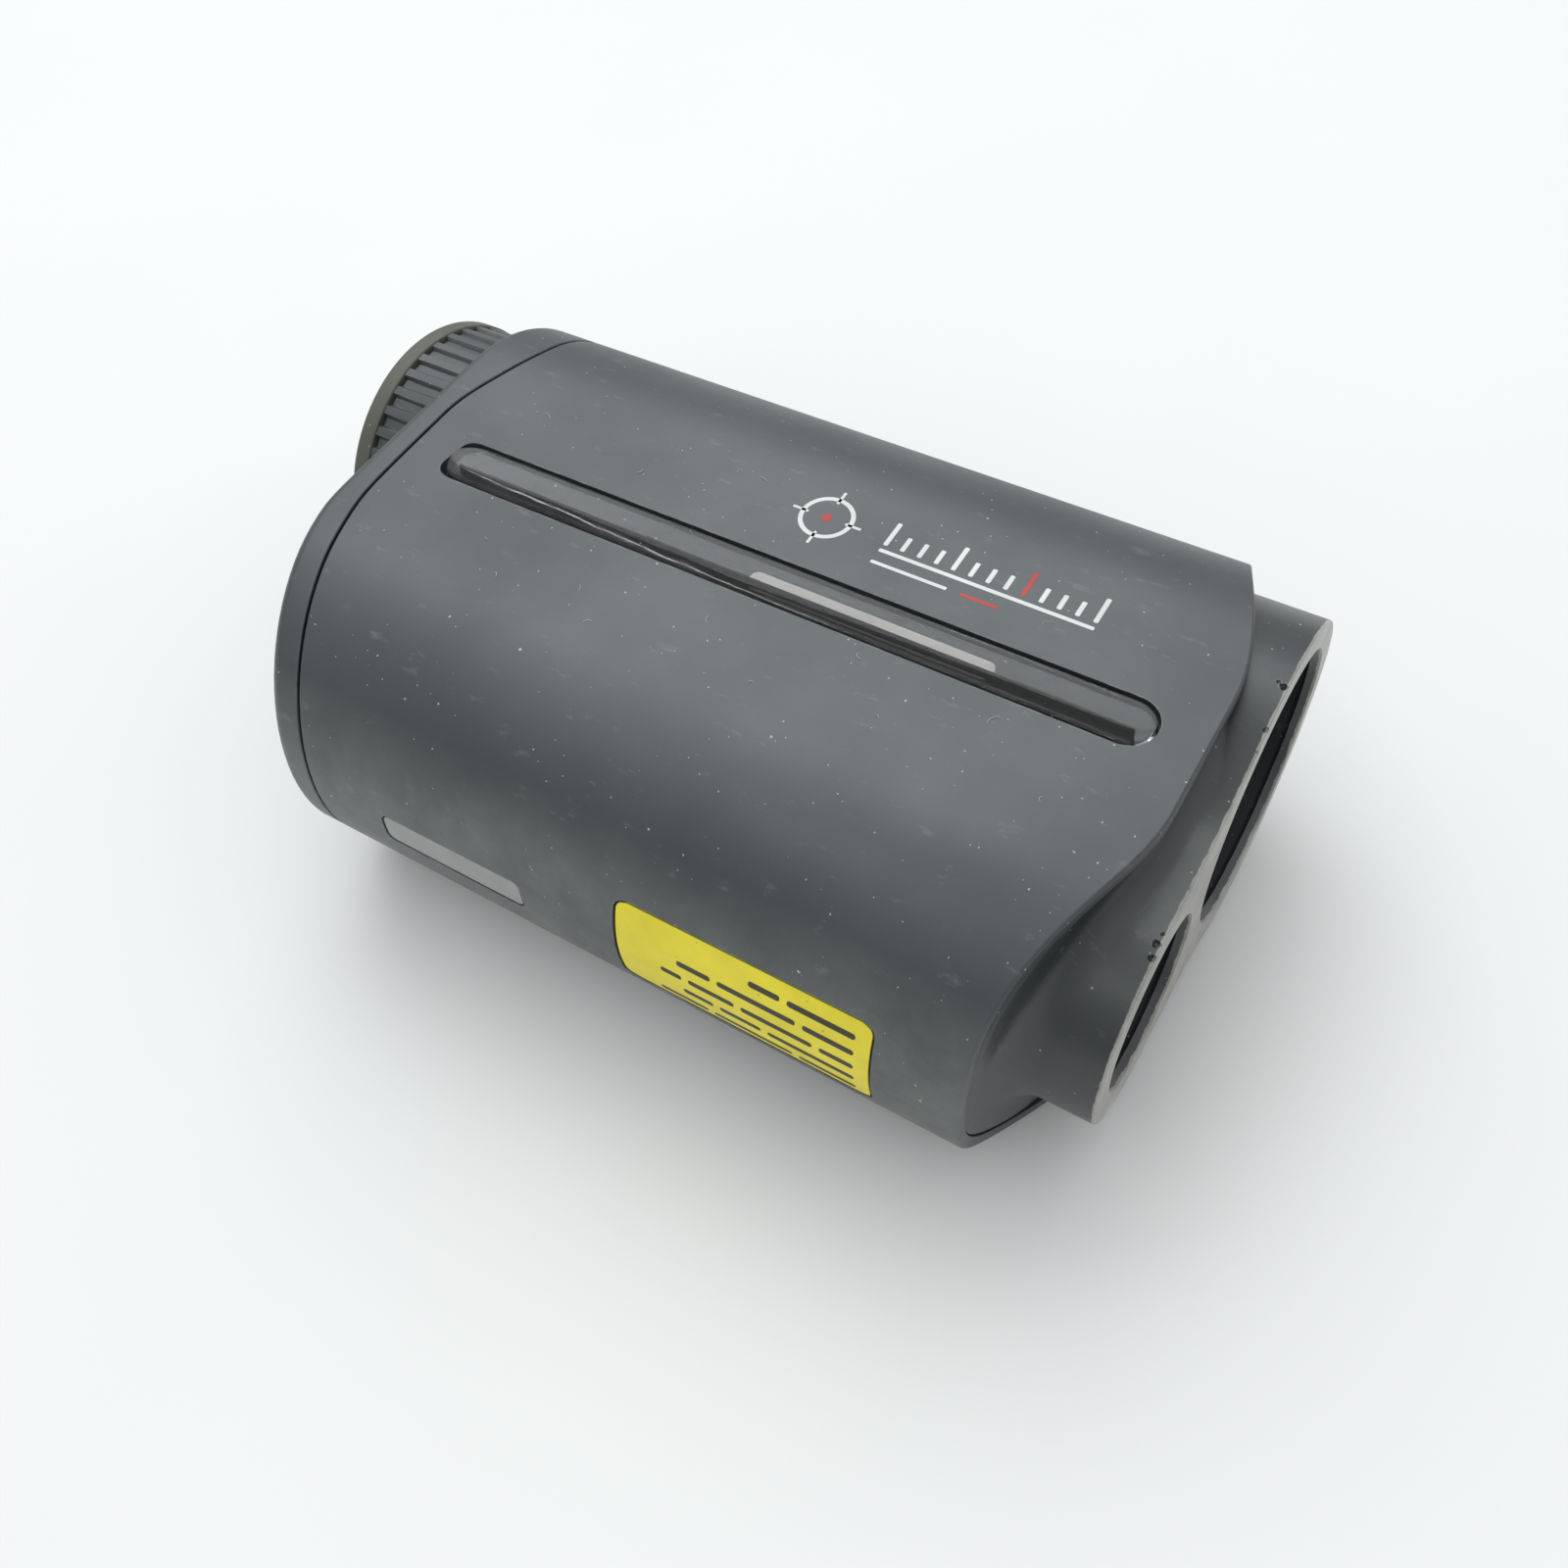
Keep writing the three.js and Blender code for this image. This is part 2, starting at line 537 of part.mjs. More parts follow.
function capSpring() {
  return turned([[CAP_DEPTH + 0.2, 0], [CAP_DEPTH + 0.2, 4], [CAP_DEPTH + 0.6, 4], [5, 2], [5, 0]], 0, 0, FINE);
}

function battery() {
  const shoulder = BATTERY_END - 1;
  return turned([
    [BATTERY_START, 0], [BATTERY_START, BATTERY_R - 0.3], [BATTERY_START + 0.3, BATTERY_R],
    [shoulder - 0.3, BATTERY_R], [shoulder, BATTERY_R - 0.4], [shoulder, 3], [BATTERY_END, 2.8],
    [BATTERY_END, 0],
  ], 0, 0);
}

function batteryTube() {
  const mouth = BATTERY_START - 0.9;
  const floor = BATTERY_END + 1.7;
  return turned([
    [mouth, BATTERY_R + 0.5], [mouth, BATTERY_R + 1.6], [floor + 1.3, BATTERY_R + 1.6],
    [floor + 1.3, 1.5], [floor, 1.5], [floor, BATTERY_R + 0.5],
  ], 0, 0);
}

const batteryContact = () => rod(BATTERY_END + 0.4, BATTERY_END + 1.3, 3.5, 0, 0, FINE);

// ---------------------------------------------------------------- fasteners
function coverScrew(y, z) {
  const seat = screwSeat(y);
  const { head, shank } = SCREW;
  const body = turned([
    [seat - 1.4, 0], [seat - 1.4, head - 0.5], [seat - 1, head], [seat - 0.1, head], [seat - 0.1, shank],
    [seat + 8, shank], [seat + 8, 0],
  ], y, z, 20);
  const recess = [0, Math.PI / 2].map((angle) => {
    const cross = new THREE.Shape();
    const [a, b] = angle ? [0.25, 1] : [1, 0.25];
    cross.moveTo(y - a, z - b);
    cross.lineTo(y + a, z - b);
    cross.lineTo(y + a, z + b);
    cross.lineTo(y - a, z + b);
    return prismX(cross, seat - 2, seat - 0.8);
  });
  return cut(body, ...recess);
}

function tieRod(y, z) {
  const rear = screwSeat(y) + 2.2;
  const front = SEAT_X - GAP;
  return turned([
    [rear + 8, ROD_BORE], [rear + 8, 0], [front, 0], [front, ROD_R], [rear, ROD_R], [rear, ROD_BORE],
  ], y, z, 20);
}

// ---------------------------------------------------------------- assembly
add('main_sleeve', mainSleeve(), 'body');
add('rear_cover', rearCover(), 'body');
add('front_frame', frontFrame(), 'frame');
add('side_light_lens', stripLens(), 'clear');
add('light_diffuser', diffuser(), 'diffuser');
add('light_board', lightBoard(), 'board');
add('yellow_label', sectorSheet(YELLOW, END_R - 0.3, END_R - 0.08, 0), 'yellow');
add('blank_plate', sectorSheet(PLATE, END_R - 0.3, END_R - 0.08, 0), 'plate');

add('button_bezel', buttonBezel(), 'button');
add('measure_button', pushButton(MEASURE), 'button');
add('mode_button', pushButton(MODE), 'button');
add('button_board', box(-80, -38, ...BUTTON_BOARD, MID_Z - 5, MID_Z + 5), 'board');
add('measure_switch', tactSwitch(MEASURE), 'metal');
add('mode_switch', tactSwitch(MODE), 'metal');

add('eyepiece_tube', eyepieceTube(), 'inner');
add('diopter_ring', diopterRing(), 'frame');
add('eyecup', eyecup(), 'rubber');
add('ocular_cell', ocularCell(), 'inner');
add('eye_lens', lens(EYE_LENS, EYE_Y), 'glass');
add('field_lens', lens(FIELD_LENS, EYE_Y), 'glass');
add('ocular_retainer', ring(-105.2, -104, 9.0, 10.1, EYE_Y, MID_Z), 'inner');

add('optical_chassis', opticalChassis(), 'inner');
add('prism_block', prismBlock(), 'glass');
add('display_panel', box(-81, -79, 5, 22.5, 10, 29.5), 'clear');
add('laser_module', laserModule(), 'brass');
add('objective_lens', lens(OBJECTIVE_LENS, OBJECTIVE_Y, ROUND), 'glass');
add('objective_retainer', ring(-12.9, -10.4, 13.4, 14.7, OBJECTIVE_Y, MID_Z), 'inner');
add('receiver_lens', lens(RECEIVER_LENS, RECEIVER_Y), 'glass');
add('receiver_retainer', ring(-10.1, -8.4, 7.7, 8.7, RECEIVER_Y, MID_Z), 'inner');
add('receiver_cone', receiverCone(), 'inner');
add('detector_board', box(-44.6, -43.4, -23, -6, 12, 27.5), 'board');
add('detector_can', rod(-43.1, -40.4, 2.7, RECEIVER_Y, MID_Z, FINE), 'metal');
add('main_board', mainBoard(), 'board');
add('speaker', speaker(), 'metal');

const batteryFrame = new THREE.Group();
batteryFrame.applyMatrix4(batteryPlace());
device.add(batteryFrame);
add('battery_tube', batteryTube(), 'inner', batteryFrame);
add('battery_contact', batteryContact(), 'brass', batteryFrame);
add('battery', battery(), 'cell', batteryFrame);
add('battery_cap', batteryCap(), 'frame', batteryFrame);
add('cap_seal', capSeal(), 'rubber', batteryFrame);
add('cap_spring', capSpring(), 'brass', batteryFrame);

SCREWS.forEach(([y, z], i) => {
  add(`cover_screw_${i + 1}`, coverScrew(y, z), 'metal');
  add(`tie_rod_${i + 1}`, tieRod(y, z), 'metal');
});

export default device;
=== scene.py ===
"""Looks of a hand-held laser rangefinder that lies on its left flat side.

Shapes are written in millimetres in the device's own axes: x runs back from the front rim (0) to the
eyecup (-110), y is the height in use from the middle of the section, z is the height above the table.
"""

import math
import random

import bmesh
import bpy
from mathutils import Matrix, Vector, noise


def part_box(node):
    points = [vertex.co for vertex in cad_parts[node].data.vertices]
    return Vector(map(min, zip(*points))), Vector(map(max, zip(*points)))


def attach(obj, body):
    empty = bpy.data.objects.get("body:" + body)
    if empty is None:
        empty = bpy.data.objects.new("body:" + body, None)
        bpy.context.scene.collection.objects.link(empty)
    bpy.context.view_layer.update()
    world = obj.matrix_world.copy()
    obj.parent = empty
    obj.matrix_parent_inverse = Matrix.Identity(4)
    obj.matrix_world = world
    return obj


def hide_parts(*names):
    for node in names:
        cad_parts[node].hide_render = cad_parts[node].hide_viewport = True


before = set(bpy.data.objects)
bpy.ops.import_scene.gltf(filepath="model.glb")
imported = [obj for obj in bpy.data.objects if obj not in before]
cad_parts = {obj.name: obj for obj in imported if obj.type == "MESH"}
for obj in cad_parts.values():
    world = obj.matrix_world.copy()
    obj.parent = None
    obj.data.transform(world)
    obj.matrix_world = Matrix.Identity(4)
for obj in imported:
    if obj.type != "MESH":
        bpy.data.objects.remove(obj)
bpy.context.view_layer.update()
random.seed(7)

# ---- places taken from the frame
MM = 0.001


def node_box(node):
    """Lowest and highest corner of a CAD node in device millimetres."""
    low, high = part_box(node)
    shift = Vector((RIM, MIDDLE, 0))
    return low / MM - shift, high / MM - shift


def axis_of(node):
    """(y, z) of the axis of a node that is round about X."""
    low, high = node_box(node)
    return (low.y + high.y) / 2, (low.z + high.z) / 2


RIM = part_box("front_frame")[1].x / MM
MIDDLE = (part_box("main_sleeve")[0].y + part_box("main_sleeve")[1].y) / 2 / MM
sleeve_low, sleeve_high = node_box("main_sleeve")
TOP = sleeve_high.z    # right flat side
MID = TOP / 2
END_R = MID    # full rounds at the top and bottom
FLAT = (sleeve_high.y - sleeve_low.y) / 2 - END_R
WALL = 2.0
LIP = 1.4    # visible thickness of the sleeve's front edge
LIP_DEPTH = 3.2    # how far back the edge is thinned
EYE_Y = axis_of("eyecup")[0]
OBJECTIVE_Y = axis_of("objective_lens")[0]
RECEIVER_Y = axis_of("receiver_lens")[0]


def to_row(x, y, z):
    return Vector(((x + RIM) * MM, (y + MIDDLE) * MM, z * MM))


# ---- edges of the housing in side view
def smooth(low, high, value):
    t = min(max((value - low) / (high - low), 0.0), 1.0)
    return t * t * (3 - 2 * t)


def ramp(value, bend):
    return (value + math.sqrt(value * value + bend * bend)) / 2


def sleeve_front(y):
    return -3.4 - 6.4 * smooth(7, 33, abs(y))


def parting_line(y):
    return -95.7 + 0.33 * ramp(-y - 9.5, 3) + 3.3 * smooth(6, 21, y)


REAR_X = -99.3
REAR_SLOPE = 0.335


def rear_face(y):
    return REAR_X + REAR_SLOPE * ramp(-11.5 - y, 2)


# ---- mesh helpers
CREASE = 32    # edges sharper than this many degrees stay sharp


def new_object(name, points, faces, crease=CREASE):
    """Object from device-millimetre points, smooth shaded except at edges sharper than crease degrees."""
    mesh = bpy.data.meshes.new(name)
    mesh.from_pydata([to_row(*p) for p in points], [], faces)
    clean(mesh)
    mesh.shade_smooth()
    mesh.set_sharp_from_angle(angle=math.radians(crease))
    obj = bpy.data.objects.new(name, mesh)
    bpy.context.scene.collection.objects.link(obj)
    return obj


def clean(mesh):
    """Merges points that coincide and turns every face outwards."""
    bm = bmesh.new()
    bm.from_mesh(mesh)
    bmesh.ops.remove_doubles(bm, verts=bm.verts, dist=2e-7)
    bmesh.ops.dissolve_degenerate(bm, edges=bm.edges, dist=1e-8)
    bmesh.ops.recalc_face_normals(bm, faces=bm.faces)
    bm.to_mesh(mesh)
    bm.free()


def circle(radius, count):
    """Points (across, up) of a full circle."""
    points = []
    for k in range(count):
        a = 2 * math.pi * k / count
        points.append((radius * math.cos(a), radius * math.sin(a)))
    return points


def loft(name, rings, loop=False, caps=False, crease=CREASE):
    """Skin over rings of points; loop joins the last ring to the first, caps close both ends."""
    count = len(rings[0])
    points = [p for ring in rings for p in ring]
    faces = []
    last = len(rings) if loop else len(rings) - 1
    for i in range(last):
        a, b = i * count, ((i + 1) % len(rings)) * count
        for k in range(count):
            n = (k + 1) % count
            faces.append((a + k, a + n, b + n, b + k))
    if caps:
        faces.append(tuple(range(count)))
        faces.append(tuple(range(len(points) - count, len(points))))
    return new_object(name, points, faces, crease)


def turned(name, profile, y, z=None, segments=96, crease=CREASE):
    """Closed profile of (x, radius) pairs turned about an axis along X, by default at mid height."""
    z = MID if z is None else z
    rings = [[(x, y + v, z + w) for v, w in circle(r, segments)] for x, r in profile]
    return loft(name, rings, loop=profile[0][1] > 1e-6, crease=crease)


def fillet(cx, cr, radius, start, end, steps=5):
    """(x, r) points of an arc about (cx, cr); angles in degrees, 0 along +x and 90 along +r."""
    points = []
    for k in range(steps + 1):
        a = math.radians(start + (end - start) * k / steps)
        points.append((cx + radius * math.cos(a), cr + radius * math.sin(a)))
    return points


def prism(name, outline, axis, low, high):
    """Straight prism: outline is in (x, z) for axis "y" and in (x, y) for axis "z"."""
    def ring(level):
        if axis == "z":
            return [(x, y, level) for x, y in outline]
        return [(x, level, z) for x, z in outline]
    return loft(name, [ring(low), ring(high)], caps=True)


def slot_outline(centre, across, length, width, steps=16):
    """Slot along x with two round ends."""
    r = width / 2
    points = []
    for side in (1, -1):
        for k in range(steps + 1):
            a = math.radians(-90 * side + 180 * k / steps)
            points.append((centre + side * (length / 2 - r) + r * math.cos(a), across + r * math.sin(a)))
    return points


def rounded_outline(a0, a1, b0, b1, r, steps):
    """Rectangle with rounded corners."""
    corners = ((a1 - r, b0 + r, -90), (a1 - r, b1 - r, 0), (a0 + r, b1 - r, 90), (a0 + r, b0 + r, 180))
    points = []
    for ca, cb, start in corners:
        for k in range(steps + 1):
            a = math.radians(start + 90 * k / steps)
            points.append((ca + r * math.cos(a), cb + r * math.sin(a)))
    return points


def densify(outline, step):
    """Adds points along the straight stretches of a closed outline."""
    points = []
    for k, (a, b) in enumerate(outline):
        c, d = outline[(k + 1) % len(outline)]
        pieces = max(1, math.ceil(math.hypot(c - a, d - b) / step))
        for i in range(pieces):
            points.append((a + (c - a) * i / pieces, b + (d - b) * i / pieces))
    return points


def join(*objs):
    """Joins meshes into the first object without a boolean."""
    bm = bmesh.new()
    for obj in objs:
        bm.from_mesh(obj.data)
    bm.to_mesh(objs[0].data)
    bm.free()
    for obj in objs[1:]:
        bpy.data.objects.remove(obj)


def cut(obj, *cutters):
    """Takes the cutters out of obj for good."""
    for cutter in cutters:
        modifier = obj.modifiers.new("cut", "BOOLEAN")
        modifier.operation = "DIFFERENCE"
        modifier.solver = "EXACT"
        modifier.object = cutter
    bpy.context.view_layer.update()
    result = bpy.data.meshes.new_from_object(obj.evaluated_get(bpy.context.evaluated_depsgraph_get()))
    obj.modifiers.clear()
    obj.data = result
    for cutter in cutters:
        bpy.data.objects.remove(cutter)
    clean(result)
    result.shade_smooth()
    result.set_sharp_from_angle(angle=math.radians(CREASE))


def even_shading(obj):
    """Keeps large smooth faces free of shading errors near cuts."""
    obj.modifiers.new("even", "WEIGHTED_NORMAL").keep_sharp = True


def lump(name, centre, size):
    """Small irregular ball that nicks an edge."""
    bm = bmesh.new()
    bmesh.ops.create_icosphere(bm, subdivisions=2, radius=size)
    for vert in bm.verts:
        vert.co *= 0.75 + 0.5 * random.random()
    points = [tuple(v.co + Vector(centre)) for v in bm.verts]
    faces = [tuple(v.index for v in f.verts) for f in bm.faces]
    bm.free()
    return new_object(name, points, faces, 10)


def finish_piece(obj, body, material, nodes=()):
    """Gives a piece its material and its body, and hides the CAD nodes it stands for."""
    obj.data.materials.clear()
    obj.data.materials.append(material)
    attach(obj, body)
    if nodes:
        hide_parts(*nodes)


# ---- body section
ARC = 40    # steps round each end
SIDE = 18    # steps along each flat side


def section_stations():
    """(centre y, cos, sin) round the section: a point is (centre + r cos, MID + r sin)."""
    stations = []
    for k in range(ARC):
        a = -math.pi / 2 + math.pi * k / ARC
        stations.append((FLAT, math.cos(a), math.sin(a)))
    for k in range(SIDE):
        stations.append((FLAT - 2 * FLAT * k / SIDE, 0.0, 1.0))
    for k in range(ARC):
        a = math.pi / 2 + math.pi * k / ARC
        stations.append((-FLAT, math.cos(a), math.sin(a)))
    for k in range(SIDE):
        stations.append((-FLAT + 2 * FLAT * k / SIDE, 0.0, -1.0))
    return stations


STATIONS = section_stations()


def section_ring(r, x_of_y):
    """Ring of the body section with end radius r, on the surface x = x_of_y(y)."""
    ring = []
    for centre, c, s in STATIONS:
        y = centre + r * c
        ring.append((x_of_y(y), y, MID + r * s))
    return ring


def shifted(edge, by):
    """An edge moved along x."""
    return lambda y: edge(y) + by


def mixed(first, second, t):
    """An edge between two others."""
    return lambda y: first(y) * (1 - t) + second(y) * t


# ---- camera
CAMERA_TARGET = (-43.503, -9.337, 20.0)
CAMERA_AZIMUTH = 37.95
CAMERA_ELEVATION = 53.88
CAMERA_DISTANCE = 156.4
CAMERA_ROLL = -8.1
CAMERA_LENS = 33.985
CAMERA_SENSOR = 36


def make_camera():
    azimuth = math.radians(CAMERA_AZIMUTH)
    elevation = math.radians(CAMERA_ELEVATION)
    level = math.cos(elevation)
    away = Vector((math.sin(azimuth) * level, -math.cos(azimuth) * level, math.sin(elevation)))
    data = bpy.data.cameras.new("camera")
    data.lens = CAMERA_LENS
    data.sensor_width = CAMERA_SENSOR
    data.clip_start = 0.005
    camera = bpy.data.objects.new("camera", data)
    bpy.context.scene.collection.objects.link(camera)
    look = (-away).to_track_quat("-Z", "Y").to_matrix().to_4x4()
    roll = Matrix.Rotation(math.radians(CAMERA_ROLL), 4, "Z")
    place = Matrix.Translation(to_row(*CAMERA_TARGET) + away * CAMERA_DISTANCE * MM)
    camera.matrix_world = place @ look @ roll
    bpy.context.scene.camera = camera


make_camera()


# ---- materials
def colour(r, g, b):
    """Linear colour from an everyday 0-255 one."""
    def linear(v):
        v /= 255
        return v / 12.92 if v <= 0.04045 else ((v + 0.055) / 1.055) ** 2.4
    return (linear(r), linear(g), linear(b), 1.0)


class Nodes:
    """Builds the node tree of a material, in object coordinates of the row frame."""

    def __init__(self, name):
        self.material = bpy.data.materials.new(name)
        self.material.use_nodes = True
        self.tree = self.material.node_tree
        self.shader = self.tree.nodes["Principled BSDF"]
        self.place = self.add("ShaderNodeTexCoord").outputs["Object"]

    def add(self, kind, inputs=None, **settings):
        node = self.tree.nodes.new(kind)
        for key, value in settings.items():
            setattr(node, key, value)
        self.feed(node, inputs or {})
        return node

    def feed(self, node, inputs):
        """Links each socket that is given another node's output, and sets the value of the others."""
        for socket, value in inputs.items():
            if isinstance(value, bpy.types.NodeSocket):
                self.tree.links.new(value, node.inputs[socket])
            else:
                node.inputs[socket].default_value = value

    def shade(self, **inputs):
        """Feeds the shader's sockets, named with _ for each space."""
        self.feed(self.shader, {key.replace("_", " "): value for key, value in inputs.items()})

    def place_along(self, axis):
        return self.add("ShaderNodeSeparateXYZ", {0: self.place}).outputs[axis]

    def noise(self, scale, detail=3.0, roughness=0.55, stretch=None):
        place = self.place
        if stretch:
            place = self.add("ShaderNodeMapping", {"Scale": stretch, "Vector": place}).outputs["Vector"]
        inputs = {"Scale": scale, "Detail": detail, "Roughness": roughness, "Vector": place}
        return self.add("ShaderNodeTexNoise", inputs).outputs["Fac"]

    def span(self, value, low, high, to_low=0.0, to_high=1.0):
        """Maps low to to_low and high to to_high, and keeps the result between them."""
        inputs = {"Value": value, "From Min": low, "From Max": high, "To Min": to_low, "To Max": to_high}
        return self.add("ShaderNodeMapRange", inputs).outputs["Result"]

    def math(self, operation, a, b):
        return self.add("ShaderNodeMath", {0: a, 1: b}, operation=operation).outputs[0]

    def blend(self, factor, first, second):
        return self.add("ShaderNodeMix", {"Factor": factor, 6: first, 7: second}, data_type="RGBA").outputs[2]

    def shaken(self, amount):
        """Coordinates shaken by a fine noise, so that specks lose their round shape."""
        inputs = {"Scale": 0.4 / (amount * MM), "Detail": 1, "Vector": self.place}
        fine = self.add("ShaderNodeTexNoise", inputs)
        inputs = {0: fine.outputs["Color"], 1: (2 * amount * MM,) * 3, 2: self.place}
        return self.add("ShaderNodeVectorMath", inputs, operation="MULTIPLY_ADD").outputs["Vector"]

    def specks(self, cell, size, share):
        """Mask of small ragged specks: one in a share of cells of the given size in millimetres."""
        cells = self.add("ShaderNodeTexVoronoi", {"Scale": 1 / (cell * MM), "Vector": self.shaken(size)})
        pick = self.add("ShaderNodeSeparateColor", {"Color": cells.outputs["Color"]})
        chosen = self.math("LESS_THAN", pick.outputs["Red"], share)
        radius = self.math("MULTIPLY", pick.outputs["Green"], size / cell)
        inside = self.math("LESS_THAN", cells.outputs["Distance"], radius)
        return self.math("MULTIPLY", chosen, inside)

    def bump(self, height, strength, distance):
        inputs = {"Strength": strength, "Distance": distance * MM, "Height": height}
        self.shade(Normal=self.add("ShaderNodeBump", inputs).outputs["Normal"])

    def edges(self, radius):
        """Mask that is 1 on sharp edges, from how far a rounded normal turns away from the real one."""
        rounded = self.add("ShaderNodeBevel", {"Radius": radius * MM}, samples=6)
        real = self.add("ShaderNodeNewGeometry")
        inputs = {0: rounded.outputs["Normal"], 1: real.outputs["Normal"]}
        dot = self.add("ShaderNodeVectorMath", inputs, operation="DOT_PRODUCT")
        return self.span(dot.outputs["Value"], 0.98, 0.75)


def darker(base, share):
    return tuple(share * c for c in base[:3]) + (1.0,)


def plastic(name, dark, light, rough, grain=0.2, dust=0.5, edge_light_and_wear=0.0, sheen=0.5, rim=None, table_glow_and_haze_below=None):
    """Moulded matte plastic: mottled colour, fine grain, smudges, dust and pale edges of wear and painted
    highlight.

    In front of x = rim it is a pale mottled grey; below a given height y it is paler in patches, partly
    handling haze and partly painted reflection of the bright table.
    """
    n = Nodes(name)
    tone = n.blend(n.span(n.noise(55, 4), 0.35, 0.7), dark, light)
    # In front of x = rim the colour turns a pale mottled grey.
    if rim:
        edge = rim * MM
        ragged = n.span(n.noise(900, 3), 0.3, 0.7, -0.08 * MM, 0.08 * MM)
        ragged = n.math("ADD", n.place_along("X"), ragged)
        mottled = n.blend(n.span(n.noise(300, 4), 0.35, 0.7), colour(128, 128, 122), colour(162, 161, 153))
        tone = n.blend(n.span(ragged, edge - 0.12 * MM, edge), tone, mottled)
    # Pale edges from the bevel mask: partly wear, partly a painted highlight along edges that would catch the
    # light.
    if edge_light_and_wear:
        worn_and_lit_edges = n.math("MULTIPLY", n.edges(0.4), n.span(n.noise(420, 4), 0.48, 0.66, 0.0, edge_light_and_wear))
        tone = n.blend(worn_and_lit_edges, tone, colour(160, 162, 158))
    # Paler patches near the bottom, towards the table: partly handling haze, partly a painted reflection of
    # the bright table.
    if table_glow_and_haze_below:
        low = n.span(n.place_along("Y"), table_glow_and_haze_below * MM, (table_glow_and_haze_below - 5) * MM)
        glow_and_haze_patches = n.math("MULTIPLY", low, n.span(n.noise(120, 5, 0.7), 0.3, 0.7, 0.08, 0.3))
        tone = n.blend(glow_and_haze_patches, tone, colour(150, 153, 148))
    fine = n.specks(0.8, 0.1, 0.35)
    large = n.specks(2.3, 0.16, 0.3)
    grit = n.math("MAXIMUM", fine, large)
    smear = n.span(n.noise(260, 6, 0.7, (1, 2.5, 1)), 0.6, 0.8, 0.0, 0.22)
    dusty = n.math("MULTIPLY", n.math("MAXIMUM", grit, smear), dust)
    n.shade(Base_Color=n.blend(dusty, tone, colour(186, 187, 182)))
    smudge = n.span(n.noise(38, 5, 0.6), 0.3, 0.72, rough - 0.07, rough + 0.08)
    n.shade(Roughness=n.math("ADD", smudge, n.math("MULTIPLY", dusty, 0.4)))
    n.bump(n.math("ADD", n.noise(2600, 3, 0.6), n.math("MULTIPLY", grit, 0.5)), grain, 0.02)
    n.shade(Specular_IOR_Level=sheen)
    return n.material


def rubber(name, dark, light, rough):
    """Moulded rubber with a pale bloom and dust."""
    n = Nodes(name)
    tone = n.blend(n.span(n.noise(90, 5), 0.35, 0.7), dark, light)
    bloom = n.span(n.noise(700, 5, 0.7), 0.55, 0.75, 0.0, 0.25)
    tone = n.blend(bloom, tone, colour(120, 122, 112))
    dusty = n.math("MULTIPLY", n.specks(0.8, 0.18, 0.35), 0.6)
    n.shade(Base_Color=n.blend(dusty, tone, colour(180, 180, 172)))
    n.shade(Roughness=n.span(n.noise(60, 4), 0.3, 0.7, rough - 0.08, rough + 0.1))
    n.bump(n.noise(1800, 4, 0.65), 0.35, 0.03)
    return n.material


def metal(name, base, rough, brushed=(1, 1, 1)):
    """Metal with dull patches and fine streaks along its brushed direction."""
    n = Nodes(name)
    n.shade(Base_Color=n.blend(n.span(n.noise(180, 5), 0.4, 0.75, 0.0, 0.6), base, darker(base, 0.55)))
    n.shade(Metallic=1.0)
    streaks = n.noise(400, 4, 0.6, brushed)
    n.shade(Roughness=n.span(streaks, 0.3, 0.7, rough - 0.08, rough + 0.15))
    n.bump(n.noise(1500, 3, 0.5, brushed), 0.12, 0.01)
    return n.material


def glass(name, tint, coating):
    """Coated lens: a dark clear body with a tinted reflection that shifts towards the rim."""
    n = Nodes(name)
    facing = n.add("ShaderNodeLayerWeight", {"Blend": 0.35})
    n.shade(Base_Color=n.blend(facing.outputs["Facing"], tint, coating))
    n.shade(Roughness=n.span(n.noise(300, 4), 0.45, 0.75, 0.02, 0.07))
    n.shade(IOR=1.6, Specular_Tint=coating, Coat_Weight=0.6, Coat_Roughness=0.02)
    n.bump(n.specks(1.6, 0.14, 0.2), 0.1, 0.01)
    return n.material


def acrylic(name):
    """Clear window with fine scratches, dust and slight ripples left by moulding."""
    n = Nodes(name)
    n.shade(IOR=1.38, Transmission_Weight=1.0)
    dusty = n.math("MULTIPLY", n.specks(1.3, 0.14, 0.35), 0.7)
    n.shade(Base_Color=n.blend(dusty, (0.86, 0.88, 0.89, 1.0), colour(190, 190, 186)))
    n.shade(Roughness=n.span(n.math("ADD", n.noise(500, 4), dusty), 0.4, 1.2, 0.02, 0.3))
    n.bump(n.noise(110, 1, 0.4, (0.6, 1.4, 1.0)), 0.03, 0.02)
    return n.material


def printed(name, base, rough=0.5):
    """Ink, film or board with slight mottling and specks."""
    n = Nodes(name)
    tone = n.blend(n.span(n.noise(240, 5), 0.35, 0.72), base, darker(base, 0.86))
    dusty = n.math("MULTIPLY", n.specks(1.0, 0.15, 0.3), 0.45)
    n.shade(Base_Color=n.blend(dusty, tone, colour(120, 116, 90)))
    n.shade(Roughness=n.span(n.noise(80, 4), 0.3, 0.7, rough - 0.08, rough + 0.1))
    n.bump(n.noise(1400, 3), 0.08, 0.01)
    return n.material


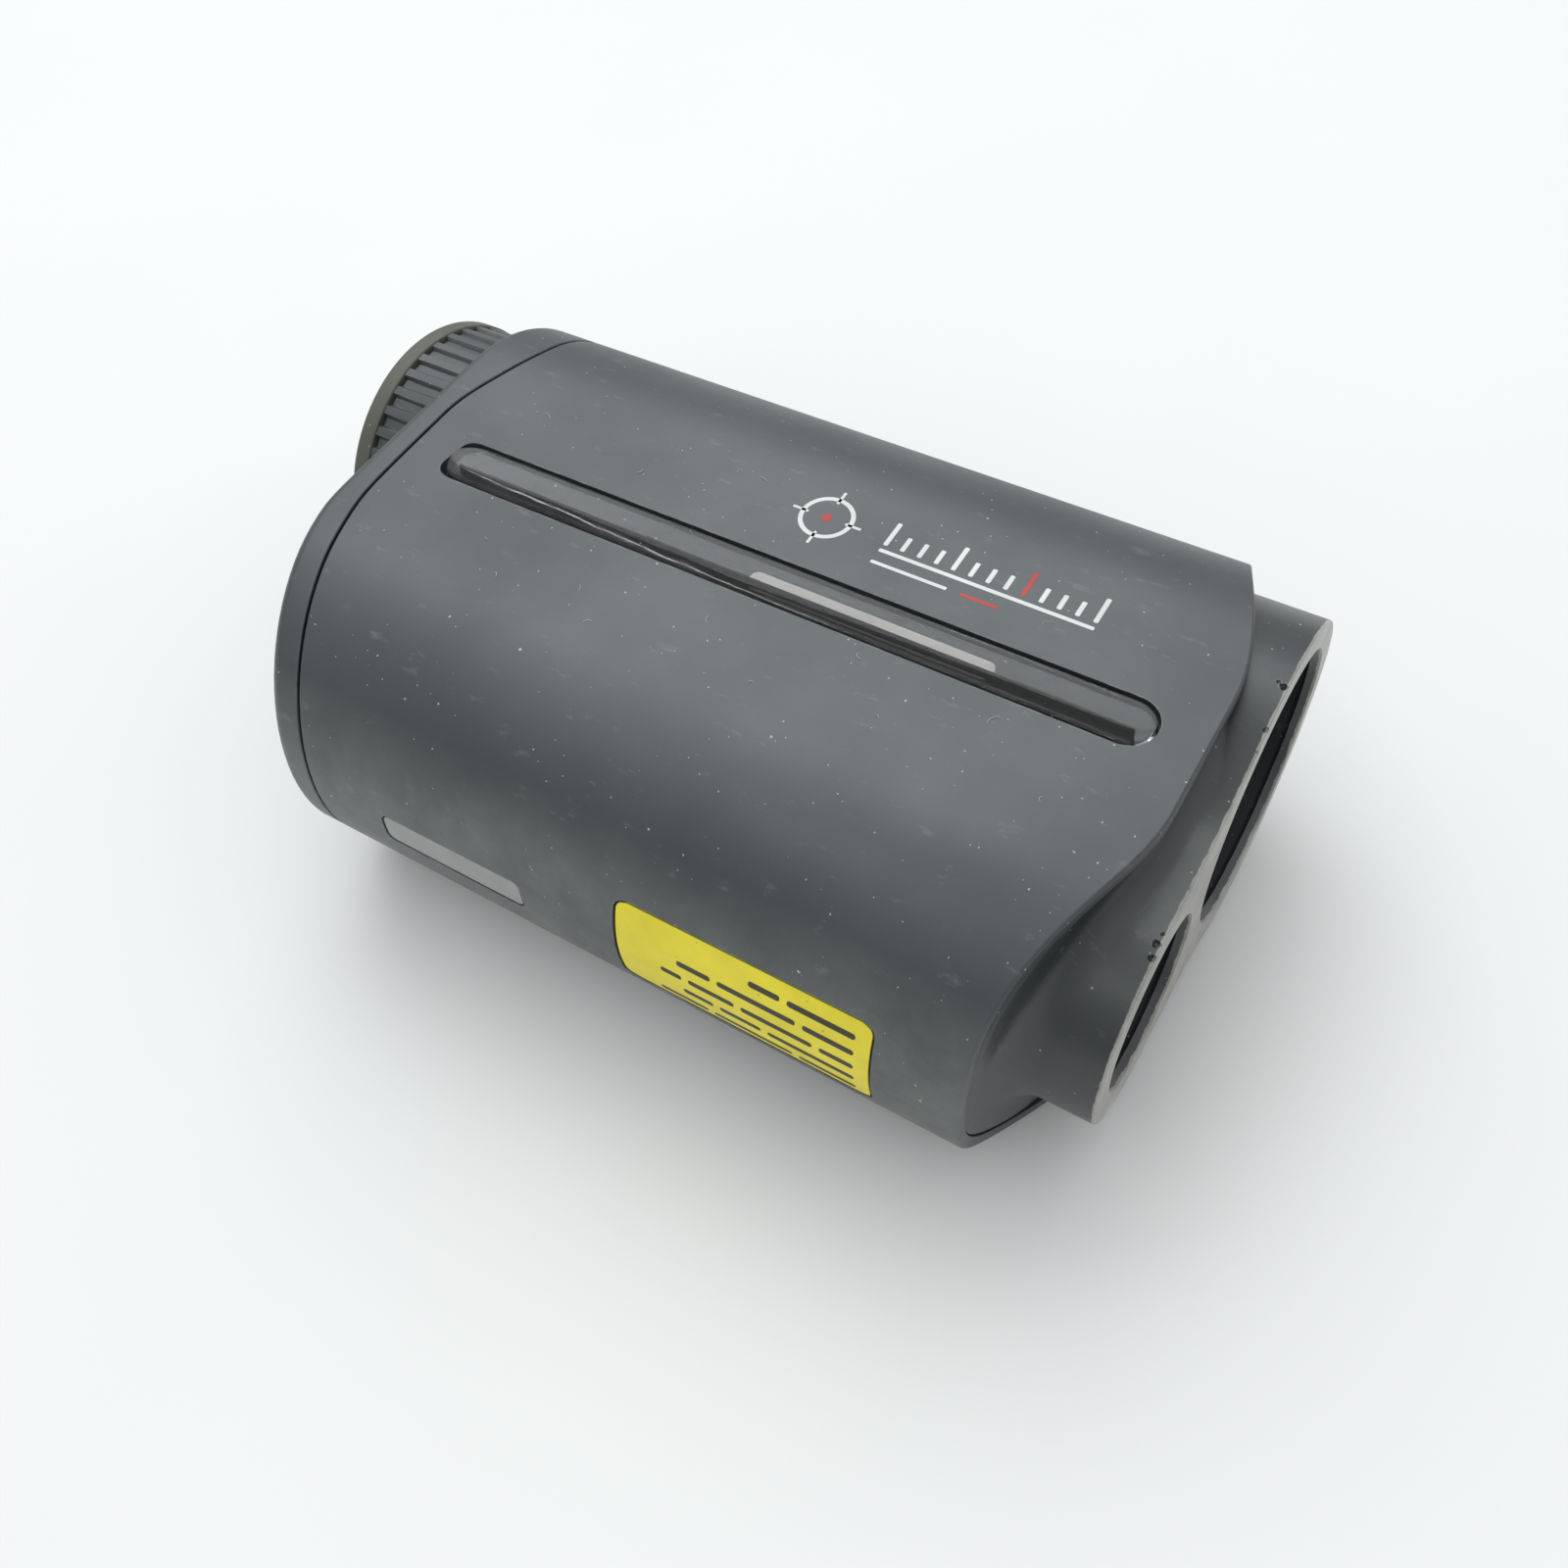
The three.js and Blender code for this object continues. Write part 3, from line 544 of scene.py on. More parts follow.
BODY = plastic("soft_touch_black", colour(41, 47, 50), colour(50, 56, 58), 0.45,
               grain=0.3, dust=0.8, edge_light_and_wear=0.5, sheen=0.8, table_glow_and_haze_below=-29)
FRAME = plastic("frame_black", colour(50, 55, 56), colour(60, 64, 65), 0.46, dust=0.6, edge_light_and_wear=0.6, sheen=0.8)
FRONT = plastic("front_black", colour(32, 36, 38), colour(41, 45, 46), 0.36,
                dust=0.6, edge_light_and_wear=0.6, sheen=0.7, rim=RIM - 0.2)
INNER = plastic("inner_black", colour(17, 18, 19), colour(25, 26, 27), 0.62, dust=0.25)
BEZEL_BLACK = plastic("bezel_black", colour(28, 30, 30), colour(36, 38, 38), 0.36, grain=0.12)
POCKET = plastic("pocket_black", colour(5, 5, 5), colour(8, 8, 8), 0.7, grain=0.1, dust=0.05, sheen=0.2)
BUTTON = rubber("button_rubber", colour(44, 46, 46), colour(54, 56, 56), 0.58)
EYECUP = rubber("eyecup_rubber", colour(74, 75, 68), colour(92, 92, 82), 0.6)
SEAL = rubber("seal_rubber", colour(24, 24, 24), colour(32, 32, 31), 0.5)
YELLOW = printed("yellow_film", colour(240, 224, 40), 0.42)
GREY = printed("grey_film", colour(158, 160, 158), 0.5)
DARK_INK = printed("dark_ink", colour(52, 50, 30), 0.5)
WHITE_INK = printed("white_ink", colour(214, 216, 214), 0.5)
RED_INK = printed("red_ink", colour(176, 52, 44), 0.5)
PALE = printed("pale_diffuser", colour(190, 180, 173), 0.4)
STEEL = metal("steel", colour(188, 190, 192), 0.28)
BRASS = metal("brass", colour(186, 154, 92), 0.3)
CASE = metal("cell_case", colour(176, 180, 184), 0.24, (1, 8, 8))
BOARD = printed("circuit_board", colour(30, 88, 52), 0.4)
OBJECTIVE_GLASS = glass("coated_objective", colour(12, 18, 24), colour(70, 96, 130))
EYE_GLASS = glass("coated_eye_lens", colour(14, 20, 22), colour(84, 120, 96))
PRISM_GLASS = glass("prism_glass", colour(40, 50, 56), colour(110, 130, 140))
CLEAR = acrylic("clear_strip")
FIBRE = printed("lint", colour(196, 196, 190), 0.8)


# ---- sleeve
SEAM = 0.15    # half of the gap at the parting line
SKIRT_R = END_R - WALL - 0.4


def sleeve_shell():
    rear = shifted(parting_line, SEAM)
    rings = [section_ring(END_R - WALL, rear)]
    for x, r in fillet(0.22, END_R - 0.22, 0.22, 180, 90, 4):
        rings.append(section_ring(r, shifted(rear, x)))
    for t in (0.25, 0.5, 0.75):
        rings.append(section_ring(END_R, mixed(rear, sleeve_front, t)))
    for x, r in fillet(-0.35, END_R - 0.35, 0.35, 90, 0, 5):
        rings.append(section_ring(r, shifted(sleeve_front, x)))
    for x, r in fillet(-0.15, END_R - LIP + 0.15, 0.15, 0, -90, 3):
        rings.append(section_ring(r, shifted(sleeve_front, x)))
    rings.append(section_ring(END_R - LIP, shifted(sleeve_front, -LIP_DEPTH)))
    rings.append(section_ring(END_R - WALL, shifted(sleeve_front, -LIP_DEPTH)))
    for t in (0.75, 0.5, 0.25):
        rings.append(section_ring(END_R - WALL, mixed(rear, sleeve_front, t)))
    return loft("sleeve", rings, loop=True)


STRIP_LOW, STRIP_HIGH = node_box("side_light_lens")
STRIP_REAR, STRIP_FRONT = STRIP_LOW.x, STRIP_HIGH.x
STRIP_Y = (STRIP_LOW.y + STRIP_HIGH.y) / 2
STRIP_HALF = (STRIP_HIGH.y - STRIP_LOW.y) / 2
STRIP_DEPTH = 1.2
TIP = 2.6    # length of the strip's pointed rear end
TIP_Y = STRIP_Y - 1.1    # height of its point


def strip_outline(grow):
    """Outline of the strip, round in front and pointed behind, grown on all sides."""
    r = STRIP_HALF + grow
    rear, front = STRIP_REAR - grow, STRIP_FRONT + grow
    low, high = STRIP_Y - r, STRIP_Y + r
    points = []
    for k in range(25):
        a = math.radians(-90 + 180 * k / 24)
        points.append((front - r + r * math.cos(a), STRIP_Y + r * math.sin(a)))
    points += curve((rear + 2.4, high), (rear + 0.4, high), (rear + 0.3, high - 1.6))
    points += curve((rear, TIP_Y), (rear, low), (rear + TIP, low))
    return points


def curve(start, control, end, steps=8):
    """Points of a quadratic curve in the plane."""
    points = []
    for k in range(steps + 1):
        t = k / steps
        points.append(tuple((1 - t) ** 2 * a + 2 * t * (1 - t) * b + t * t * c
                            for a, b, c in zip(start, control, end)))
    return points


DIFFUSER_LOW, DIFFUSER_HIGH = node_box("light_diffuser")
BEZEL_LOW, BEZEL_HIGH = node_box("button_bezel")
BEZEL_X = (BEZEL_LOW.x + BEZEL_HIGH.x) / 2
BEZEL_FLANGE = 2    # hidden flange round the bezel
BEZEL_LENGTH = BEZEL_HIGH.x - BEZEL_LOW.x - 2 * BEZEL_FLANGE
BEZEL_WIDTH = BEZEL_HIGH.z - BEZEL_LOW.z - 2 * BEZEL_FLANGE
SPEAKER_LOW, SPEAKER_HIGH = node_box("speaker")
YELLOW_CORNER = 1.2
GREY_CORNER = 0.8
LABEL_POCKET = 0.6
# Height and size of the nicks in the sleeve's front edge.
SLEEVE_NICKS = ((-9.7, 0.3), (-10.5, 0.22), (-12.8, 0.34), (-13.3, 0.25), (6.2, 0.2))
HOLE_PITCH = 3    # speaker grille
HOLE_WIDTH = 1.2


def label_angles(node):
    """First and last angle of a label on the lower round, from its lowest line, in radians."""
    low, high = node_box(node)
    return math.asin((low.z - MID) / END_R), math.asin((high.z - MID) / END_R)


def label_sheet(name, node, r_in, r_out, grow, corner):
    """Curved sheet on the lower round, with rounded corners."""
    low, high = node_box(node)
    first, last = label_angles(node)
    first, last = first - grow / END_R, last + grow / END_R
    rear, front = low.x - grow, high.x + grow
    corner += grow
    rows, columns = 36, 12
    outer, inner = [], []
    for i in range(rows + 1):
        across = first + (last - first) * i / rows
        edge = max(0.0, corner - min(across - first, last - across) * END_R)
        pull = corner - math.sqrt(max(corner * corner - edge * edge, 0.0))
        for j in range(columns + 1):
            x = rear + pull + (front - rear - 2 * pull) * j / columns
            for r, points in ((r_out, outer), (r_in, inner)):
                points.append((x, -FLAT - r * math.cos(across), MID + r * math.sin(across)))
    count = len(outer)
    faces = []
    wide = columns + 1
    for i in range(rows):
        for j in range(columns):
            a, b, c, d = i * wide + j, i * wide + j + 1, (i + 1) * wide + j + 1, (i + 1) * wide + j
            faces.append((a, b, c, d))
            faces.append((d + count, c + count, b + count, a + count))
    border = list(range(wide))
    border += [i * wide + columns for i in range(1, rows + 1)]
    border += [rows * wide + j for j in range(columns - 1, -1, -1)]
    border += [i * wide for i in range(rows - 1, 0, -1)]
    for k, a in enumerate(border):
        b = border[(k + 1) % len(border)]
        faces.append((b, a, a + count, b + count))
    return new_object(name, outer + inner, faces, 40)


def grille_cutters():
    """Round holes in the left side over the speaker."""
    x = (SPEAKER_LOW.x + SPEAKER_HIGH.x) / 2
    y = (SPEAKER_LOW.y + SPEAKER_HIGH.y) / 2
    holes = []
    for i in range(-2, 3):
        for j in range(-2, 3):
            if abs(i) + abs(j) <= 3:
                place = x + HOLE_PITCH * i, y + HOLE_PITCH * j
                outline = slot_outline(*place, HOLE_WIDTH + 0.0001, HOLE_WIDTH, 12)
                holes.append(prism("hole", outline, "z", -1, WALL + 0.5))
    return holes


def diffuser_outline(grow, shift=0.0, trim=0.0):
    """Slot of the light guide, grown at its ends by grow, moved across by shift and narrowed by trim."""
    length = DIFFUSER_HIGH.x - DIFFUSER_LOW.x + grow
    width = DIFFUSER_HIGH.y - DIFFUSER_LOW.y + grow - trim
    return slot_outline((DIFFUSER_LOW.x + DIFFUSER_HIGH.x) / 2, STRIP_Y + shift, length, width)


def make_sleeve():
    shell = sleeve_shell()
    pocket = prism("pocket", densify(strip_outline(0.34), 3), "z", TOP - STRIP_DEPTH, TOP + 2)
    light = prism("light", diffuser_outline(0.6), "z", TOP - WALL - 1, TOP)
    around_bezel = slot_outline(BEZEL_X, MID, BEZEL_LENGTH + 0.5, BEZEL_WIDTH + 0.5, 24)
    opening = prism("opening", around_bezel, "y", 26, 40)
    bottom = END_R - LABEL_POCKET
    recesses = [label_sheet("recess", "yellow_label", bottom, END_R + 1, 0.28, YELLOW_CORNER),
                label_sheet("recess", "blank_plate", bottom, END_R + 1, 0.22, GREY_CORNER)]
    nicks = [lump("nick", (sleeve_front(y) + 0.1, y, TOP + 0.05), size) for y, size in SLEEVE_NICKS]
    cut(shell, pocket, light, opening, *recesses, *grille_cutters(), *nicks)
    finish_piece(shell, "housing", BODY, ["main_sleeve"])
    even_shading(shell)


make_sleeve()

# ---- rear cover
TUBE_R = 14.0    # fixed eyepiece tube
CAP_R = (node_box("cap_seal")[1].z - node_box("cap_seal")[0].z) / 2 - 0.1
BATTERY_Y = -21.5
BATTERY_TILT = math.atan(REAR_SLOPE)
SCREW_SEAT = 1.5    # depth of the screw seats in the rear face
COVER_WALL = 2.2
COVER_SKIRT = 4    # how far the cover reaches into the sleeve
COVER_EDGE = 1.5    # rounding round the rear face
OUTSIDE = -104    # behind the rear face


def battery_place(point):
    """From the battery's own axes, u inwards from the slanted face, to the device's."""
    u, v, w = point
    c, s = math.cos(BATTERY_TILT), math.sin(BATTERY_TILT)
    return rear_face(BATTERY_Y) + c * u - s * v, BATTERY_Y + s * u + c * v, MID + w


def tilted(name, profile, segments=96, crease=CREASE):
    """Profile of (u, radius) pairs turned about the battery axis."""
    rings = [[battery_place((u, v, w)) for v, w in circle(r, segments)] for u, r in profile]
    return loft(name, rings, loop=profile[0][1] > 1e-6, crease=crease)


def rear_cover_rings():
    """From the middle of the inner face round the skirt and the edge to the middle of the rear face."""
    front = shifted(parting_line, -SEAM)
    skirt = SKIRT_R - 1.4
    rings = [section_ring(r, shifted(rear_face, COVER_WALL)) for r in (0, 5, 10, skirt)]
    rings += [section_ring(r, shifted(parting_line, COVER_SKIRT)) for r in (skirt, SKIRT_R)]
    rings.append(section_ring(SKIRT_R, front))
    for x, r in fillet(-0.22, END_R - 0.22, 0.22, 0, 90, 4):
        rings.append(section_ring(r, shifted(front, x)))
    for x, r in fillet(COVER_EDGE, END_R - COVER_EDGE, COVER_EDGE, 90, 180, 8):
        rings.append(section_ring(r, shifted(rear_face, x)))
    for k in range(1, 13):
        rings.append(section_ring((END_R - COVER_EDGE) * (1 - k / 12), rear_face))
    return rings


def screw_hole(node):
    """Chamfered hole with a seat for the screw head, as a cutter."""
    y, z = axis_of(node)
    face = rear_face(y)
    seat = face + SCREW_SEAT
    wide, head, shank, end = 2.5, 2.15, 1.3, -84
    profile = [(OUTSIDE, 0), (OUTSIDE, wide), (face - 0.05, wide), (face + 0.35, head), (seat, head),
               (seat, shank), (end, shank), (end, 0)]
    return turned("hole", profile, y, z, 40)


def make_rear_cover():
    shell = loft("rear_cover_shell", rear_cover_rings())
    clear, inside = TUBE_R + 0.4, -90
    eye_bore = turned("bore", [(OUTSIDE, 0), (OUTSIDE, clear), (inside, clear), (inside, 0)], EYE_Y)
    mouth = CAP_R + 0.3
    flare = mouth + 0.5
    cap_bore = tilted("bore", [(-6, 0), (-6, flare), (-0.1, flare), (0.5, mouth), (8, mouth), (8, 0)])
    cut(shell, eye_bore, cap_bore, screw_hole("cover_screw_1"), screw_hole("cover_screw_2"))
    finish_piece(shell, "housing", BODY, ["rear_cover"])
    even_shading(shell)


make_rear_cover()

# ---- front frame
BARREL_R = 18.1    # outside round the objective
SMALL_R = 12.9    # outside round the receiver
SMALL_Y = RECEIVER_Y + 0.4
OBJECTIVE_BORE = 15.1
RECEIVER_BORE = 9.1
SEAT_X = node_box("front_frame")[0].x
FLANGE_R = END_R - LIP - 0.13    # thin dark gap inside the sleeve's edge
DOME = 0.25    # rise of the flange from its edge to the barrel
# Chips in the rim and the barrel's edge: centre and radius of the barrel, x, angle and size.
OBJECTIVE_EDGE = (OBJECTIVE_Y, BARREL_R)
RECEIVER_EDGE = (SMALL_Y, SMALL_R)
CHIPS = (
    (OBJECTIVE_EDGE, -0.5, 96, 0.42), (OBJECTIVE_EDGE, -1.1, 95, 0.24), (OBJECTIVE_EDGE, -0.2, 111, 0.38),
    (OBJECTIVE_EDGE, -0.05, 118, 0.25), (RECEIVER_EDGE, -0.5, 98, 0.45), (RECEIVER_EDGE, -0.3, 104, 0.38),
    (RECEIVER_EDGE, -0.4, 93, 0.22), (OBJECTIVE_EDGE, 0.0, -40, 0.3),
)


def flange_level(y):
    """The flange lies just behind the sleeve's edge at the bottom and deeper beside the barrel's waist."""
    return sleeve_front(y) - 0.2 - 1.5 * smooth(-26, -10, y)


def barrel_half_width(y):
    """Half width of the figure-eight between its two centres."""
    leave = math.radians(120)
    y0 = OBJECTIVE_Y + BARREL_R * math.cos(leave)
    h0 = BARREL_R * math.sin(leave)
    if y >= y0:
        return math.sqrt(BARREL_R ** 2 - (y - OBJECTIVE_Y) ** 2)
    reach = 6 * (h0 - SMALL_R) * math.tan(leave - math.pi / 2)
    t = min((y0 - y) / reach, 1.0)
    return SMALL_R + (1 - t) ** 2 * (h0 - SMALL_R)


def barrel_ring():
    """Figure-eight in (y, z), one point for each station of the body section."""
    ring = []
    for k, (centre, c, s) in enumerate(STATIONS):
        if k < ARC:
            ring.append((OBJECTIVE_Y + BARREL_R * c, MID + BARREL_R * s))
        elif ARC + SIDE <= k < 2 * ARC + SIDE:
            ring.append((SMALL_Y + SMALL_R * c, MID + SMALL_R * s))
        else:
            t = (FLAT - centre) / (2 * FLAT)
            y = OBJECTIVE_Y + (SMALL_Y - OBJECTIVE_Y) * t
            ring.append((y, MID + s * barrel_half_width(y)))
    return ring


def inset(ring, distance):
    """Moves each point of a (y, z) ring inwards along its normal."""
    moved = []
    count = len(ring)
    for k, (y, z) in enumerate(ring):
        y0, z0 = ring[k - 1]
        y1, z1 = ring[(k + 1) % count]
        length = math.hypot(y1 - y0, z1 - z0)
        moved.append((y - distance * (z1 - z0) / length, z + distance * (y1 - y0) / length))
    return moved


def flange_rings(barrel):
    """Rings of the domed flange that runs into the barrel with a hollow fillet."""
    skirt = [(centre + FLANGE_R * c, MID + FLANGE_R * s) for centre, c, s in STATIONS]
    spans = [math.hypot(a[0] - b[0], a[1] - b[1]) for a, b in zip(skirt, barrel)]

    def ring(share, rise):
        """share runs from 0 at the skirt to 1 at the fillet's foot, then rise from 0 to 1 up the fillet."""
        points = []
        for (ys, zs), (yb, zb), span in zip(skirt, barrel, spans):
            radius = min(3.0, 0.8 * span)
            angle = rise * math.pi / 2
            near = radius * (1 - math.sin(angle))
            away = near if rise > 0 else radius + (span - radius) * (1 - share)
            t = away / span
            y, z = yb + (ys - yb) * t, zb + (zs - zb) * t
            dome = DOME * math.sqrt(max(0.0, 1 - (1 - share) ** 2)) if rise == 0 else DOME
            points.append((flange_level(y) + dome + radius * (1 - math.cos(angle)), y, z))
        return points

    rings = [ring(k / 8, 0) for k in range(9)]
    rings += [ring(1, k / 8) for k in range(1, 9)]
    return rings


def chips():
    """Small irregular lumps that nick the rim and the barrel edge."""
    lumps = []
    for (y, r), x, angle, size in CHIPS:
        a = math.radians(angle)
        lumps.append(lump("chip", (x, y + r * math.cos(a), MID + r * math.sin(a)), size))
    return lumps


def bore_cutter(y, bore, lens_node, lip):
    """Opening with a slightly narrowed, chamfered mouth and a lip behind the lens."""
    seat = node_box(lens_node)[0].x - 0.25
    behind, mouth = SEAT_X - 1, bore + 0.12
    profile = [(behind, 0), (behind, bore - lip), (seat, bore - lip), (seat, bore), (-1.5, bore),
               (-1.0, bore - 0.3), (0.1, mouth), (1, mouth), (1, 0)]
    return turned("bore", profile, y, segments=144)


def make_front_frame():
    barrel = barrel_ring()
    step = shifted(sleeve_front, -LIP_DEPTH + 0.1)
    rings = [section_ring(SKIRT_R, lambda y: SEAT_X)]
    rings += [section_ring(r, step) for r in (SKIRT_R, FLANGE_R)]
    rings += flange_rings(barrel)
    round_edge = 0.2
    for x, r in fillet(-round_edge, 0, round_edge, 90, 0, 5):
        rings.append([(x, y, z) for y, z in inset(barrel, round_edge - r)])
    shell = loft("front_frame_shell", rings, caps=True)
    bores = [bore_cutter(OBJECTIVE_Y, OBJECTIVE_BORE, "objective_lens", 1.7),
             bore_cutter(RECEIVER_Y, RECEIVER_BORE, "receiver_lens", 1.2)]
    cut(shell, *bores, *chips())
    finish_piece(shell, "housing", FRONT, ["front_frame"])
    even_shading(shell)


make_front_frame()

# ---- light strip
def strip_width(x):
    """Lowest and highest y of the strip at x."""
    low, high = STRIP_Y - STRIP_HALF, STRIP_Y + STRIP_HALF
    centre = STRIP_FRONT - STRIP_HALF
    if x > centre:
        reach = math.sqrt(max(STRIP_HALF ** 2 - (x - centre) ** 2, 0))
        return STRIP_Y - reach, STRIP_Y + reach
    behind = STRIP_REAR + TIP - x
    if behind > 0:
        t = behind / TIP
        low = low + (TIP_Y - low) * (1 - math.sqrt(max(1 - t * t, 0)))
        high = high - 1.2 * t * t
    return low, high


def strip_stations():
    """Places along the strip, close together at its two ends."""
    stations = []
    for k in range(9):
        stations.append(STRIP_REAR + 0.02 + TIP * (k / 8) ** 2)
    span = STRIP_FRONT - STRIP_HALF - stations[-1]
    stations += [stations[-1] + span * k / 60 for k in range(1, 61)]
    for k in range(1, 17):
        stations.append(STRIP_FRONT - STRIP_HALF * (1 - math.sin(k / 16 * math.pi / 2)) - 0.004)
    return stations


RIDGE_SHARE = 0.4    # place of the ridge across the strip, from its lower edge
RIDGE_RISE = 0.2    # above the flat side
UPPER_DROP = 0.16    # fall of the broad facet to the upper edge
LOWER_DROP = 0.75    # fall of the narrow, rounded facet to the lower edge
STRIP_BEVEL = 0.28


def strip_surface(x, y, low, high):
    """Height of the window's outer surface."""
    share = (y - low) / (high - low)
    narrow = min(1, (high - low) / (2 * STRIP_HALF))
    down = max(RIDGE_SHARE - share, 0) / RIDGE_SHARE
    up = max(share - RIDGE_SHARE, 0) / (1 - RIDGE_SHARE)
    ridge = TOP + RIDGE_RISE - 0.05 * math.exp(-((share - RIDGE_SHARE) / 0.05) ** 2)
    level = ridge - LOWER_DROP * (0.55 * down + 0.45 * down * down) - UPPER_DROP * narrow * up
    edge = min(y - low, high - y)
    bevel = STRIP_BEVEL * (1 - math.sqrt(max(0, 1 - max(0, 1 - edge / STRIP_BEVEL) ** 2)))
    wave = 0.03 * down * noise.noise(Vector((x * 0.35, 0.4 * y, 3.0)))
    wave += 0.015 * down * noise.noise(Vector((x * 1.3, y, 8.0)))
    return level - bevel + wave


def make_strip_lens():
    """Clear window with a broad, nearly flat facet, a soft ridge and a steeper facet below it."""
    foot = TOP - STRIP_DEPTH + 0.15
    ridge = TOP + RIDGE_RISE
    steps = 30
    rings = []
    for x in strip_stations():
        low, high = strip_width(x)
        narrow = min(1, (high - low) / (2 * STRIP_HALF))
        ring = [(x, low, foot), (x, low, ridge - LOWER_DROP - STRIP_BEVEL)]
        for k in range(steps + 1):
            y = low + (high - low) * k / steps
            ring.append((x, y, strip_surface(x, y, low, high)))
        ring += [(x, high, ridge - UPPER_DROP * narrow - STRIP_BEVEL), (x, high, foot)]
        rings.append(ring)
    lens = loft("strip_window", rings, caps=True, crease=50)
    finish_piece(lens, "housing", CLEAR, ["side_light_lens"])


def make_strip_inside():
    """Black backing, a black fin under the lower facet that darkens it as painted shade, and the pale light
    guide that shows through it.
    """
    guide = prism("light_guide", diffuser_outline(0, 0.1, 0.5), "z", DIFFUSER_LOW.z, DIFFUSER_HIGH.z + 0.12)
    finish_piece(guide, "housing", PALE, ["light_diffuser"])
    floor_z = TOP - STRIP_DEPTH
    bed = prism("strip_bed", densify(strip_outline(0.2), 3), "z", floor_z, floor_z + 0.1)
    cut(bed, prism("hole", diffuser_outline(0.2), "z", 30, 42))
    finish_piece(bed, "housing", POCKET)
    # Black fin under the lower facet: a dark block that paints shade into that facet.
    ridge = STRIP_Y - STRIP_HALF + 2 * STRIP_HALF * RIDGE_SHARE
    outline = rounded_outline(STRIP_REAR + 1.6, STRIP_FRONT - 1.6, ridge - 0.3, ridge - 0.1, 0.09, 3)
    shade_fin = prism("strip_shade_fin", outline, "z", floor_z, TOP)
    finish_piece(shade_fin, "housing", POCKET)


make_strip_lens()
make_strip_inside()


# ---- labels and printed marks
def make_label(node, corner, material):
    sheet = label_sheet(node + "_film", node, END_R - 0.12, END_R - 0.32, 0, corner)
    finish_piece(sheet, "housing", material, [node])


def curved_bar(name, x0, x1, angle, height, material):
    """Thin printed bar on the lower round, at an angle in degrees from its lowest line."""
    r = END_R - 0.1
    rings = []
    steps = 6
    for k in range(steps + 1):
        a = math.radians(angle) + height / r * (k / steps - 0.5)
        pull = 0.3 * height * (2 * k / steps - 1) ** 4
        first, last = x0 + pull, x1 - pull
        corners = ((first, r - 0.03), (last, r - 0.03), (last, r), (first, r))
        rings.append([(x, -FLAT - level * math.cos(a), MID + level * math.sin(a)) for x, level in corners])
    finish_piece(loft(name, rings, caps=True), "housing", material)


# Lengths of the bars in each row, from the front.
BAR_ROWS = ((7.2, 3.4), (5.4, 8.6, 3.8), (3.6, 7.8, 5.2, 2.4), (9.4, 4.6, 3.4), (6.2, 8.8, 5.6))
BAR_HEIGHT = 0.75
BAR_GAP = 0.8
ROW_PITCH = 6.6    # degrees between rows


def make_label_rows():
    """Plain dark bars in place of the text, in rows."""
    first_row = math.degrees(label_angles("yellow_label")[1]) - 6.5
    for row, lengths in enumerate(BAR_ROWS):
        x = node_box("yellow_label")[1].x - 1.6
        for length in lengths:
            curved_bar("label_bar", x - length, x, first_row - ROW_PITCH * row, BAR_HEIGHT, DARK_INK)
            x -= length + BAR_GAP


INK_FOOT = TOP - 0.01
INK_TOP = TOP + 0.012
AIM_X, AIM_Y = -48.5, 10.4    # centre of the aiming ring
SCALE_X, SCALE_Y = -41.5, 9.6    # rear end of the scale and foot of its ticks
TICKS = 13
TICK_PITCH = 1.9
TICK_WIDTH = 0.5
RED_TICK = 8


def mark(name, outline, material):
    """Thin ink shape printed on the right flat side."""
    finish_piece(prism(name, outline, "z", INK_FOOT, INK_TOP), "housing", material)


def bar(x0, x1, y0, y1):
    return rounded_outline(x0, x1, y0, y1, min(x1 - x0, y1 - y0) * 0.3, 3)


def ring_mark(name, inner, outer, material):
    """Ink ring about the aiming point."""
    rings = []
    for r, z in ((inner, INK_FOOT), (outer, INK_FOOT), (outer, INK_TOP), (inner, INK_TOP)):
        rings.append([(AIM_X + u, AIM_Y + v, z) for u, v in circle(r, 40)])
    finish_piece(loft(name, rings, loop=True), "housing", material)


def make_marks():
    """Plain scale printed above the strip: an aiming ring, a row of ticks and two bars."""
    ring_mark("mark_ring", 2.5, 3.0, WHITE_INK)
    ring_mark("mark_dot", 0.01, 0.55, RED_INK)
    for k in range(4):
        a = math.radians(90 * k)
        c, s = math.cos(a), math.sin(a)
        ends = [(2.2, -0.16), (4.0, -0.16), (4.0, 0.16), (2.2, 0.16)]
        mark("mark_hair", [(AIM_X + u * c - v * s, AIM_Y + u * s + v * c) for u, v in ends], WHITE_INK)
    for k in range(TICKS):
        x = SCALE_X + TICK_PITCH * k
        tall = 3.4 if k % 4 == 0 else 2.0
        ink = RED_INK if k == RED_TICK else WHITE_INK
        mark("mark_tick", bar(x, x + TICK_WIDTH, SCALE_Y, SCALE_Y + tall), ink)
    for rear, front, low, high, ink in ((SCALE_X, -18.2, 8.6, 9.05, WHITE_INK),
                                        (SCALE_X, -33, 6.9, 7.3, WHITE_INK),
                                        (-31.5, -27.5, 6.9, 7.3, RED_INK)):
        mark("mark_line", bar(rear, front, low, high), ink)


make_label("yellow_label", YELLOW_CORNER, YELLOW)
make_label("blank_plate", GREY_CORNER, GREY)
make_label_rows()
make_marks()


# ---- buttons on the upper round
def upper_surface(z):
    return FLAT + math.sqrt(END_R ** 2 - (z - MID) ** 2)


KEY_FLANGE = 1    # hidden flange round each button


def key_box(node):
    """Centre x, length and width of a push button above its flange."""
    low, high = node_box(node)
    return (low.x + high.x) / 2, high.x - low.x - 2 * KEY_FLANGE, high.z - low.z - 2 * KEY_FLANGE


